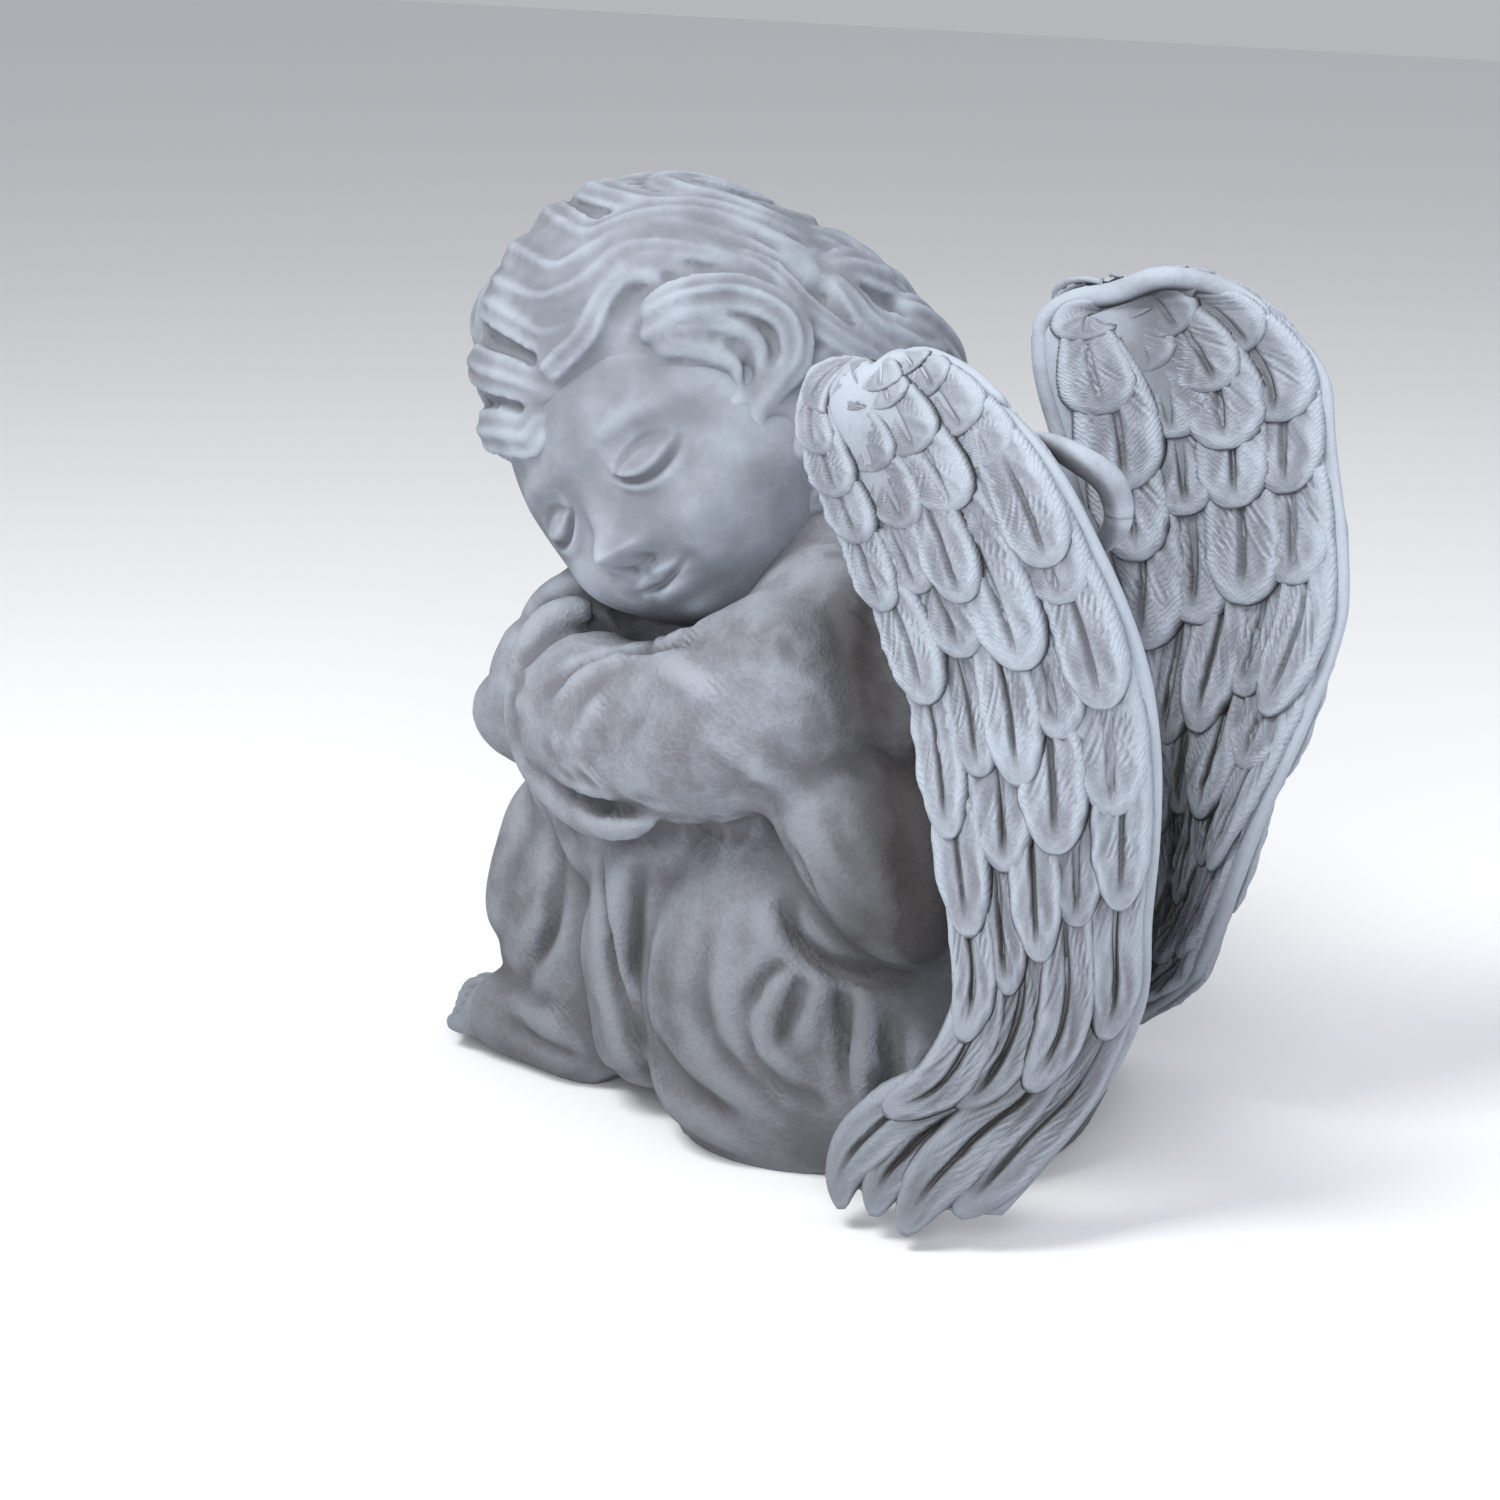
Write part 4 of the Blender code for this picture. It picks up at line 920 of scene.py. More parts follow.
@dataclass
class Wing:
    """One wing: a bent blade with rows of overlapping feathers on both faces.

    On the blade, share runs from the front edge to the back edge and way from the top to the tip.
    """

    side: int
    raised: float = 0.0
    edge_thickness: float = 3.2
    shoulder_thickness: float = 9.0
    feather_thickness: float = 2.4
    feather_lift: float = 3.6
    steps: int = 200
    front_forward: float = 0.0
    back_forward: float = 0.0
    shoulder_back: float = 0.0
    tip_forward: float = 0.0
    feather_overlap: float = 1.36
    inner_rim: float = 0.05
    bulge: float = 5.0
    blade_end: float = 0.965
    outer_start: float = 0.015
    inner_start: float = 0.03
    odd_row_gap: float = 0.36
    odd_feather_sunk: float = 1.1
    front: Array = field(init=False)
    back: Array = field(init=False)

    def __post_init__(self) -> None:
        """Carry a smooth curve through each edge of the blade."""
        self.front = smooth_curve(WING_FRONT, self.steps)
        self.back = smooth_curve(WING_BACK, self.steps)
        self.front[:, 0] -= self.front_forward * bell(self.front[:, 1] - 88, 48)
        height = self.back[:, 1]
        self.back[:, 0] += self.shoulder_back * bell(height - 195, 16)
        self.back[:, 0] -= self.back_forward * np.clip((134 - height) / 100, 0, None)
        self.back[:, 0] -= self.tip_forward * np.clip((32 - height) / 26, 0, 1)

    def edge(self, line: Array, way: Array) -> Array:
        """Return the place on an edge at a way from 0 at the top to 1 at the tip."""
        at = np.clip(way, 0, 1) * (self.steps - 1)
        return np.stack([np.interp(at, np.arange(self.steps), line[:, k]) for k in range(3)], -1)

    def place(self, share: Array, way: Array) -> Array:
        """Return places on the blade's middle: the edges mixed by share, bulging out by a sine of it.

        Args:
            share: From 0 at the front edge to 1 at the back edge.
            way: From 0 at the top to 1 at the tip.

        Returns:
            A place for each pair of the two.
        """
        share, way = np.broadcast_arrays(np.asarray(share, float), np.asarray(way, float))
        front, back = self.edge(self.front, way), self.edge(self.back, way)
        mixed = front + (back - front) * share[..., None]
        bulge = self.bulge * np.sin(np.pi * np.clip(share, 0, 1))
        return np.stack([mixed[..., 2] + bulge, mixed[..., 0], mixed[..., 1]], -1)

    def normal(self, share: Array, way: Array) -> Array:
        """Return the blade's direction away from the figure, from small steps of both parameters.

        Args:
            share: From 0 at the front edge to 1 at the back edge.
            way: From 0 at the top to 1 at the tip.

        Returns:
            A direction of length 1 for each pair of the two.
        """
        step = 0.01
        across = self.place(share + step, way) - self.place(share - step, way)
        along = self.place(share, np.minimum(way + step, 1)) - self.place(share, np.maximum(way - step, 0))
        normal = unit(np.cross(across, along))
        return normal * np.sign(normal[..., :1])

    def thickness(self, share: Array, way: Array) -> Array:
        """Return half the blade's thickness, a bell at the shoulder that a sine thins towards the top.

        Args:
            share: From 0 at the front edge to 1 at the back edge.
            way: From 0 at the top to 1 at the tip.

        Returns:
            Half the thickness for each pair of the two.
        """
        thinned = np.sin(math.pi / 2 * np.clip(way / 0.11, 0, 1))
        shoulder = bell(way - 0.12, 0.16) * bell(share, 0.55) * thinned
        return self.edge_thickness + (self.shoulder_thickness - self.edge_thickness) * shoulder

    def blade(self) -> Array:
        """Return the rings of the bare blade, whose section is rounded by a sine to the power 0.6.

        Returns:
            Places shaped (ring, side, 3).
        """
        way = np.linspace(0.0, self.blade_end, 90)[:, None]
        turn = np.linspace(0, 2 * math.pi, 56, endpoint=False)[None, :]
        share = (1 - np.cos(turn)) / 2 + 0 * way
        way = way + 0 * turn
        offset = np.sign(np.sin(turn)) * np.abs(np.sin(turn)) ** 0.6 * self.thickness(share, way)
        return self.place(share, way) + self.normal(share, way) * offset[..., None]

    def top_edge(self) -> Array:
        """Return the rows of the rounded edge that runs over the top and thins out down the front.

        Returns:
            Rows of a limb.
        """
        front = self.edge(self.front, np.linspace(0.42, 0, 12))
        back = self.edge(self.back, np.linspace(0.02, 0.12, 4))
        line = np.concatenate([front, back])[:, [2, 0, 1]]
        radius = np.interp(np.arange(16), [0, 6, 11, 15], [1.8, 3.3, 3.2, 2.4])[:, None]
        return np.hstack([line, radius, radius])

    def back_flap(self) -> Array:
        """Return the rows of the small curled flap behind the back edge.

        Returns:
            Rows of a limb.
        """
        rim = [(54, 79, 196, 2, 2), (50, 88, 192, 3.2, 3.2), (47, 97, 185, 3.6, 3.6)]
        rim += [(46, 98, 177, 3.2, 3.2), (48, 93, 169, 2, 2)]
        return np.array(rim, float)

    def feather(
        self, share: float, start: float, end: float, width: float, face: int, sunk: float, seed: int
    ) -> tuple[Array, Array]:
        """Return the rings and strand map of one feather.

        Its outline is a square root at a round end. Its top is a dome, (1 - u^4) to the power
        one half, with a groove along the quill, a rolled edge, and slanted barbs that are the sine
        of the length plus the distance from the quill.

        Args:
            share: Where it lies between the front and the back edge.
            start: The way at which it leaves the blade.
            end: The way at its tip.
            width: Its width as a share of the chord.
            face: 1 for the outer face and -1 for the inner one.
            sunk: How much lower it lies than its neighbours.
            seed: A number that varies its barbs.

        Returns:
            Places shaped (ring, side, 3), and the distances across and along at each.
        """
        u = np.concatenate([np.linspace(0, 0.72, 19, endpoint=False), np.linspace(0.72, 1.0, 16)])
        way = start + (end - start) * u
        fan = share - 0.04 * u
        middle = self.place(fan, way)
        normal = self.normal(np.clip(fan, 0.02, 0.98), np.clip(way, 0.01, 0.99)) * face
        size = min(max((end - start) / 0.16, 0.40), 1.0)
        lift = self.thickness(fan, way) * 0.8 - 1.0 - sunk * size + self.feather_lift * size * u ** 1.5
        along = unit(np.gradient(middle, axis=0))
        across = unit(np.cross(normal, along))
        chord = np.linalg.norm(self.place(1.0, way) - self.place(0.0, way), axis=-1)
        tip = np.sqrt(np.clip(1 - ((u - 0.70) / 0.305).clip(0) ** 2, 0, 1))
        half = chord * width * 0.5 * (0.75 + 0.25 * np.minimum(u / 0.6, 1)) * tip + 0.05
        top, under = np.linspace(1, -1, 22), np.linspace(-1, 1, 7)[1:-1]
        top = np.sign(top) * np.abs(top) ** 1.25
        side = np.concatenate([top, under])
        dome = np.concatenate([np.sqrt(1 - top ** 4), -0.5 * np.sqrt(1 - under ** 2)])
        upper = np.concatenate([np.ones_like(top), np.zeros_like(under)])[None, :]
        length = u[:, None]
        quill = bell(side[None, :] - 0.05 * math.sin(seed), 0.06 + 0.07 * np.clip(length - 0.5, 0, 1))
        quill = quill * np.clip((length - 0.25) / 0.2, 0, 1) * np.clip((0.93 - length) / 0.12, 0, 1)
        slant = length - 0.45 * np.abs(side)[None, :] ** 0.8
        barbs = 0.6 * np.sin(40 * slant + 1.9 * np.sin(9 * slant + seed) + 2 * seed)
        barbs = barbs + 0.6 * np.sin(23 * slant + 2.6 * np.sin(6 * slant - seed) + np.sign(side)[None, :])
        barbs = barbs * np.clip(np.abs(side)[None, :] / 0.25, 0, 1) * np.clip((1 - length) / 0.15, 0, 1)
        rolled = bell(np.hypot(side[None, :], np.clip((length - 0.7) / 0.3, 0, 1)) - 0.86, 0.13)
        height = self.feather_thickness * (0.45 + 0.55 * size) * (0.25 + 0.75 * tip)[:, None] * dome[None, :]
        height = height + upper * tip[:, None] * size * (0.46 * barbs - 2.0 * quill + 0.6 * rolled)
        rings = (
            (middle + normal * lift[:, None])[:, None]
            + across[:, None] * (half[:, None] * side)[..., None]
            + normal[:, None] * height[..., None]
        )
        return rings, np.stack(np.broadcast_arrays(side[None, :] + 4 * (seed % 7), length), axis=-1)

    def build(self) -> bpy.types.Object:
        """Return the wing: its blade, top edge and feathers, and on the left wing the curled flap.

        Returns:
            The object of the wing.
        """
        clay = Clay()
        turned = np.array([self.side, 1, 1])
        raised = np.array([0, 0, self.raised])
        clay.add_rings(self.blade() * turned + raised, Zone.FEATHER)
        for limb in (self.top_edge(), self.back_flap())[: 2 if self.side > 0 else 1]:
            rows = limb * (self.side, 1, 1, 1, 1) + (0, 0, self.raised, 0, 0)
            clay.add_limb(rows, Zone.FEATHER, rings=60, cap=0.1)
        seed = 0
        for face in (1, -1):
            earliest = self.outer_start if face > 0 else self.inner_start
            for row, (start, end, count, slant) in enumerate(OUTER_ROWS if face > 0 else INNER_ROWS):
                for k in range(count):
                    under = k % 2
                    width = self.feather_overlap / (count + (self.odd_row_gap if row % 2 else 0.0))
                    first = width / 2 if face > 0 else width / 2 + self.inner_rim
                    share = first + (1 - width / 2 - first) * k / (count - 1)
                    reach = end - slant * share + 0.012 * math.sin(7.3 * row + 4.1 * k + face) - 0.018 * under
                    begin = max(start - slant * share * 0.6, earliest)
                    seed += 1
                    sunk = self.odd_feather_sunk * under + 0.5 * share
                    rings, strands = self.feather(share, begin, min(reach, 1.0), width, face, sunk, seed)
                    clay.add_rings(rings * turned + raised, Zone.FEATHER, strands)
        return clay.to_object("angel_wing_left" if self.side > 0 else "angel_wing_right")


# Patina and painted shade, read by the material from two attributes of each point

TENTHS_IN_METRE = 1e4
LARGEST_CONVEXITY = 4
CONVEXITY_ROUNDS = 4
CONVEXITY_GAIN = 1.3


def neighbour_mean(mesh: bpy.types.Mesh, values: Array) -> Array:
    """Return for each point the mean of the values at the far ends of its edges.

    Args:
        mesh: The mesh.
        values: A value or a row of values for each point.

    Returns:
        The means, shaped as the values.
    """
    ends = np.empty(len(mesh.edges) * 2, np.int32)
    mesh.edges.foreach_get("vertices", ends)
    near, far = ends.reshape(-1, 2).T
    count = len(mesh.vertices)
    links = np.bincount(near, minlength=count) + np.bincount(far, minlength=count)
    columns = []
    for column in values.reshape(count, -1).T:
        total = np.bincount(near, column[far], count) + np.bincount(far, column[near], count)
        columns.append(total / np.maximum(links, 1))
    return np.stack(columns, axis=-1).reshape(values.shape)


def convexity(mesh: bpy.types.Mesh) -> Array:
    """Return how far each point stands out of its neighbours, in tenths of a millimetre.

    It is the part along the normal of the way from the neighbours' mean to the point, evened out
    over some rounds of neighbours.

    Args:
        mesh: The mesh, in metres.

    Returns:
        A number for each point, below zero in a hollow.
    """
    points, normals = read_points(mesh), read_points(mesh, "normal")
    out = np.sum((points - neighbour_mean(mesh, points)) * normals, axis=1) * TENTHS_IN_METRE
    out = np.clip(out, -LARGEST_CONVEXITY, LARGEST_CONVEXITY)
    for _ in range(CONVEXITY_ROUNDS):
        out = neighbour_mean(mesh, out)
    return CONVEXITY_GAIN * out


@dataclass
class Recesses:
    """How much of the casting stands close in front of a place, from counts in a grid of cells, for painted
    shade and patina in the recesses.
    """

    cell: float = 0.0035
    reaches: tuple[float, float] = (0.0075, 0.0150)
    starts: tuple[float, float] = (0.16, 0.22)
    weights: tuple[float, float] = (1.0, 0.75)
    rounds: int = 2
    gain: float = 1.6
    power: float = 1.3

    def measure(self, meshes: list[bpy.types.Mesh]) -> list[Array]:
        """Return the painted shade and patina of the recesses at each point of each mesh.

        The areas of all faces are summed in cells, and each cell takes the mean of three along
        x, y and z for a few rounds. The darkness is 1 minus a falling exponential of the sum at a
        reach in front of the place, raised to a power. A place takes the larger of two reaches.

        Args:
            meshes: The meshes of the casting.

        Returns:
            For each mesh an array of values from 0 in the open to 1 in the deepest recess.
        """
        places = [read_points(mesh) for mesh in meshes]
        low = np.min([p.min(0) for p in places], axis=0) - 10 * self.cell
        size = np.ceil((np.max([p.max(0) for p in places], axis=0) - low) / self.cell).astype(int) + 10
        grid = np.zeros(size)
        for mesh in meshes:
            index = ((read_faces(mesh, "center", 3) - low) / self.cell).astype(int)
            flat = np.ravel_multi_index(index.T, size)
            grid += np.bincount(flat, read_faces(mesh, "area"), grid.size).reshape(size)
        for _ in range(self.rounds):
            for axis in range(3):
                grid = (np.roll(grid, 1, axis) + grid + np.roll(grid, -1, axis)) / 3
        grid /= self.cell ** 2
        found = []
        for mesh, points in zip(meshes, places):
            normals = read_points(mesh, "normal")
            darkness = np.zeros(len(points))
            for reach, start, weight in zip(self.reaches, self.starts, self.weights):
                total = self.mixed(grid, (points + normals * reach - low) / self.cell - 0.5)
                crowded = np.clip(total - start, 0, None) ** self.power
                darkness = np.maximum(darkness, weight * (1 - np.exp(-self.gain * crowded)))
            found.append(darkness)
        return found

    def mixed(self, grid: Array, at: Array) -> Array:
        """Return the grid's value at places in cells, mixed from the eight cells round each.

        Args:
            grid: A value for each cell.
            at: Places counted in cells, shaped (count, 3).

        Returns:
            The value at each place.
        """
        corner = np.floor(at).astype(int)
        part = at - corner
        total = np.zeros(len(at))
        for step in np.ndindex(2, 2, 2):
            total += np.prod(np.where(step, part, 1 - part), axis=1) * grid[tuple((corner + step).T)]
        return total


def add_values(mesh: bpy.types.Mesh, name: str, values: Array) -> None:
    """Store a number at each point of a mesh."""
    layer = mesh.attributes.new(name, "FLOAT", "POINT")
    layer.data.foreach_set("value", np.asarray(values, np.float32))


# Finish

FULL_TURN = 6.2832


@dataclass(frozen=True)
class StoneFinish:
    """The matte grey paint of cast stone, brushed light on its heights, with dark patina and painted shade in
    its recesses.
    """

    name: str
    mid: tuple[float, float, float]
    light: tuple[float, float, float]
    # The colour of the patina and of the painted shade
    dark: tuple[float, float, float] = (0.030, 0.026, 0.025)
    roughness: float = 0.78
    brushed_and_highlight: float = 1.0
    pitting: float = 0.5
    barbs: float = 0.0
    patina_and_shade_strength: float = 1.0


FEATHER_STONE = StoneFinish(
    "stone_feathers", (0.212, 0.224, 0.256), (0.400, 0.444, 0.510), barbs=0.8, patina_and_shade_strength=0.95
)
HAIR_STONE = StoneFinish("stone_hair", (0.205, 0.215, 0.243), (0.440, 0.482, 0.545), pitting=0.3, patina_and_shade_strength=1.0)
SKIN_STONE = StoneFinish("stone_skin", (0.180, 0.192, 0.217), (0.345, 0.385, 0.440), pitting=0.2, patina_and_shade_strength=0.8)
# The robe's own paint, set darker than the other finishes as painted shade of the lower, more hidden robe
CLOTH_STONE = StoneFinish(
    "stone_cloth", (0.150, 0.152, 0.170), (0.295, 0.318, 0.360), pitting=0.8, patina_and_shade_strength=0.85
)
FINISHES = {
    Zone.FEATHER: FEATHER_STONE, Zone.HAIR: HAIR_STONE, Zone.SKIN: SKIN_STONE, Zone.CLOTH: CLOTH_STONE,
}


def new_group(name: str, inputs: dict[str, str], outputs: dict[str, str]) -> bpy.types.NodeTree:
    """Return a new shader group with sockets of the given names and kinds.

    Args:
        name: The name of the group.
        inputs: The kind of each input socket by its name.
        outputs: The kind of each output socket by its name.

    Returns:
        The group.
    """
    tree = bpy.data.node_groups.new(name, "ShaderNodeTree")
    for socket, kind in inputs.items():
        tree.interface.new_socket(socket, in_out="INPUT", socket_type=kind)
    for socket, kind in outputs.items():
        tree.interface.new_socket(socket, in_out="OUTPUT", socket_type=kind)
    return tree


@dataclass
class Wiring:
    """A node tree with short calls to add nodes and join them."""

    tree: bpy.types.NodeTree

    def node(self, kind: str, **settings: object) -> bpy.types.Node:
        """Add a node and set its options.

        Args:
            kind: The type of the node.
            settings: Its options by name.

        Returns:
            The node.
        """
        made = self.tree.nodes.new(kind)
        for name, value in settings.items():
            setattr(made, name, value)
        return made

    def join(self, source: bpy.types.NodeSocket, target: bpy.types.NodeSocket) -> None:
        """Link an output to an input."""
        self.tree.links.new(source, target)

    def math(self, operation: str, *values: object) -> bpy.types.NodeSocket:
        """Add a Math node on sockets or numbers and return its result.

        Args:
            operation: What it works out.
            values: A socket or a number for each input.

        Returns:
            The socket of the result.
        """
        made = self.node("ShaderNodeMath", operation=operation)
        for socket, value in zip(made.inputs, values):
            if isinstance(value, bpy.types.NodeSocket):
                self.join(value, socket)
            else:
                socket.default_value = value
        return made.outputs[0]

    def ramp(self, value: bpy.types.NodeSocket, low: float, high: float) -> bpy.types.NodeSocket:
        """Spread a value from low to high over 0 to 1, smoothly and clamped.

        Args:
            value: The value.
            low: What becomes 0.
            high: What becomes 1.

        Returns:
            The socket of the result.
        """
        made = self.node("ShaderNodeMapRange", interpolation_type="SMOOTHSTEP")
        self.join(value, made.inputs["Value"])
        made.inputs["From Min"].default_value = low
        made.inputs["From Max"].default_value = high
        return made.outputs["Result"]

    def noise(self, vector: bpy.types.NodeSocket, scale: float, detail: float = 4.0) -> bpy.types.NodeSocket:
        """Add a noise texture and return its value.

        Args:
            vector: Where it is read.
            scale: Its waves in a unit.
            detail: How many finer layers it has.

        Returns:
            The socket of the value.
        """
        made = self.node("ShaderNodeTexNoise")
        self.join(vector, made.inputs["Vector"])
        made.inputs["Scale"].default_value = scale
        made.inputs["Detail"].default_value = detail
        return made.outputs["Fac"]

    def mix(self, share: object, first: object, second: object) -> bpy.types.NodeSocket:
        """Mix two colours by a share and return the result.

        Args:
            share: The share of the second colour.
            first: A socket or a colour.
            second: A socket or a colour.

        Returns:
            The socket of the colour.
        """
        made = self.node("ShaderNodeMix", data_type="RGBA")
        for name, value in (("Factor", share), ("A", first), ("B", second)):
            socket = next(s for s in made.inputs if s.name == name and s.enabled)
            if isinstance(value, bpy.types.NodeSocket):
                self.join(value, socket)
            elif isinstance(value, tuple):
                socket.default_value = (*value[:3], 1.0)
            else:
                socket.default_value = value
        return next(s for s in made.outputs if s.enabled)


def crust_group() -> bpy.types.NodeTree:
    """Return the group of the casting's grain: pits, a crinkled crust and broad stains.

    Returns:
        The group, with outputs for the height, the stains, and the crust's ridges, which the colour lightens
        as dry-brushed paint with a painted highlight.
    """
    tree = new_group(
        "stone_crust",
        {"Vector": "NodeSocketVector", "Pitting": "NodeSocketFloat"},
        {"Height": "NodeSocketFloat", "Stain": "NodeSocketFloat", "Grain": "NodeSocketFloat"},
    )
    wiring = Wiring(tree)
    inside, out = wiring.node("NodeGroupInput"), wiring.node("NodeGroupOutput")
    vector = inside.outputs["Vector"]
    fine = wiring.noise(vector, 1500.0, 3.0)
    crinkle = wiring.noise(vector, 330.0, 5.0)
    folded = wiring.math("ABSOLUTE", wiring.math("SUBTRACT", crinkle, 0.5))
    ridges = wiring.math("SUBTRACT", 1.0, wiring.ramp(folded, 0.0, 0.11))
    height = wiring.math("ADD", wiring.math("MULTIPLY", ridges, 0.7), fine)
    height = wiring.math("MULTIPLY", height, inside.outputs["Pitting"])
    height = wiring.math("ADD", height, wiring.math("MULTIPLY", wiring.noise(vector, 700.0, 4.0), 0.35))
    wiring.join(height, out.inputs["Height"])
    wiring.join(wiring.noise(vector, 55.0, 5.0), out.inputs["Stain"])
    wiring.join(ridges, out.inputs["Grain"])
    return tree


def barb_group() -> bpy.types.NodeTree:
    """Return the group of a feather's barbs, slanted cuts on its strand map.

    Returns:
        The group, with an output for the height.
    """
    tree = new_group(
        "feather_barbs",
        {"Strands": "NodeSocketVector", "Amount": "NodeSocketFloat"},
        {"Height": "NodeSocketFloat"},
    )
    wiring = Wiring(tree)
    inside, out = wiring.node("NodeGroupInput"), wiring.node("NodeGroupOutput")
    split = wiring.node("ShaderNodeSeparateXYZ")
    wiring.join(inside.outputs["Strands"], split.inputs[0])
    across = wiring.math("PINGPONG", wiring.math("ADD", split.outputs["X"], 200.0), 2.0)
    slanted = wiring.math("MULTIPLY", split.outputs["Y"], 26.0)
    slanted = wiring.math("ADD", slanted, wiring.math("MULTIPLY", across, 7.0))
    wobble = wiring.noise(inside.outputs["Strands"], 7.0, 3.0)
    slanted = wiring.math("ADD", slanted, wiring.math("MULTIPLY", wobble, 3.0))
    cuts = wiring.math("SINE", wiring.math("MULTIPLY", slanted, FULL_TURN))
    cuts = wiring.ramp(cuts, -0.9, 0.6)
    wiring.join(wiring.math("MULTIPLY", cuts, inside.outputs["Amount"]), out.inputs["Height"])
    return tree


def dress(finish: StoneFinish, crust: bpy.types.NodeTree, barbs: bpy.types.NodeTree) -> bpy.types.Material:
    """Return the material of one finish.

    The colour goes from mid to light where the point stands out, as dry-brushed paint, and where the
    crust has a ridge, as dry-brushed paint with a painted highlight. It goes to dark in the hollows as
    patina, in the recesses as patina and painted shade, and towards the ground as painted shade, with
    broad stains over it.

    Args:
        finish: The colours and strengths.
        crust: The group of the casting's grain.
        barbs: The group of a feather's barbs.

    Returns:
        The material.
    """
    material = bpy.data.materials.new(finish.name)
    material.use_nodes = True
    wiring = Wiring(material.node_tree)
    shader = material.node_tree.nodes["Principled BSDF"]
    shader.inputs["Specular IOR Level"].default_value = 0.2
    place = wiring.node("ShaderNodeTexCoord").outputs["Object"]
    grain = wiring.node("ShaderNodeGroup", node_tree=crust)
    wiring.join(place, grain.inputs["Vector"])
    grain.inputs["Pitting"].default_value = finish.pitting
    raised = wiring.node("ShaderNodeAttribute", attribute_name="raised").outputs["Fac"]
    recess_shade_and_patina = wiring.node("ShaderNodeAttribute", attribute_name="recess_shade_and_patina").outputs["Fac"]
    stain = grain.outputs["Stain"]
    height = grain.outputs["Height"]
    uneven = wiring.math("MULTIPLY", wiring.math("SUBTRACT", stain, 0.5), 3.4)
    # The crust's ridges are lightened: dry-brushed paint with a painted highlight on their crests
    ridges = wiring.math("MULTIPLY", grain.outputs["Grain"], 0.30 * finish.pitting)
    patchy = wiring.math("ADD", wiring.math("ADD", raised, uneven), ridges)
    brushed_and_highlight = wiring.math("MULTIPLY", wiring.ramp(patchy, -0.7, 1.3), finish.brushed_and_highlight)
    colour = wiring.mix(brushed_and_highlight, finish.mid, finish.light)
    sunk = wiring.ramp(wiring.math("MULTIPLY", raised, -1.0), 0.25, 2.6)
    # Dark patina in the hollows, and painted shade with patina in the recesses
    patina_and_shade = wiring.math("MAXIMUM", wiring.math("MULTIPLY", sunk, 0.6), recess_shade_and_patina)
    split = wiring.node("ShaderNodeSeparateXYZ")
    wiring.join(place, split.inputs[0])
    # Painted shade, darker towards the ground
    low = wiring.math("SUBTRACT", 1.0, wiring.ramp(split.outputs["Z"], -0.03, 0.13))
    patina_and_shade = wiring.math("ADD", patina_and_shade, wiring.math("MULTIPLY", low, 0.60))
    patina_and_shade = wiring.math("MULTIPLY", patina_and_shade, finish.patina_and_shade_strength)
    patina_and_shade = wiring.math("MULTIPLY", patina_and_shade, wiring.math("ADD", stain, 0.55))
    patina_and_shade = wiring.math("MINIMUM", patina_and_shade, 0.95)
    # Mix to the dark colour: patina and painted shade
    colour = wiring.mix(patina_and_shade, colour, finish.dark)
    wiring.join(colour, shader.inputs["Base Color"])
    rough = wiring.math("SUBTRACT", finish.roughness + 0.08, wiring.math("MULTIPLY", brushed_and_highlight, 0.16))
    wiring.join(rough, shader.inputs["Roughness"])
    if finish.barbs:
        cuts = wiring.node("ShaderNodeGroup", node_tree=barbs)
        strands = wiring.node("ShaderNodeUVMap", uv_map="strands")
        wiring.join(strands.outputs["UV"], cuts.inputs["Strands"])
        cuts.inputs["Amount"].default_value = finish.barbs
        height = wiring.math("ADD", wiring.math("MULTIPLY", height, 0.6), cuts.outputs["Height"])
    bump = wiring.node("ShaderNodeBump")
    bump.inputs["Strength"].default_value = 0.5
    bump.inputs["Distance"].default_value = 0.0005
    wiring.join(height, bump.inputs["Height"])
    wiring.join(bump.outputs["Normal"], shader.inputs["Normal"])
    return material


# Assembly


def close_up(obj: bpy.types.Object) -> None:
    """Turn every closed form of a mesh to face outwards and shade it smooth.

    Args:
        obj: The object that has the mesh.
    """
    solid = bmesh.new()
    solid.from_mesh(obj.data)
    bmesh.ops.recalc_face_normals(solid, faces=solid.faces)
    solid.to_mesh(obj.data)
    solid.free()
    obj.data.polygons.foreach_set("use_smooth", np.ones(len(obj.data.polygons), bool))


def cut_flat(obj: bpy.types.Object) -> None:
    """Take off what is under the ground and close the cut.

    Args:
        obj: The object that is cut.
    """
    solid = bmesh.new()
    solid.from_mesh(obj.data)
    everything = list(solid.verts) + list(solid.edges) + list(solid.faces)
    cut = bmesh.ops.bisect_plane(
        solid, geom=everything, plane_co=(0, 0, 0), plane_no=(0, 0, -1), clear_outer=True
    )
    edges = [e for e in cut["geom_cut"] if isinstance(e, bmesh.types.BMEdge)]
    bmesh.ops.holes_fill(solid, edges=edges, sides=0)
    bmesh.ops.triangulate(solid, faces=[f for f in solid.faces if len(f.verts) > 4])
    solid.to_mesh(obj.data)
    solid.free()


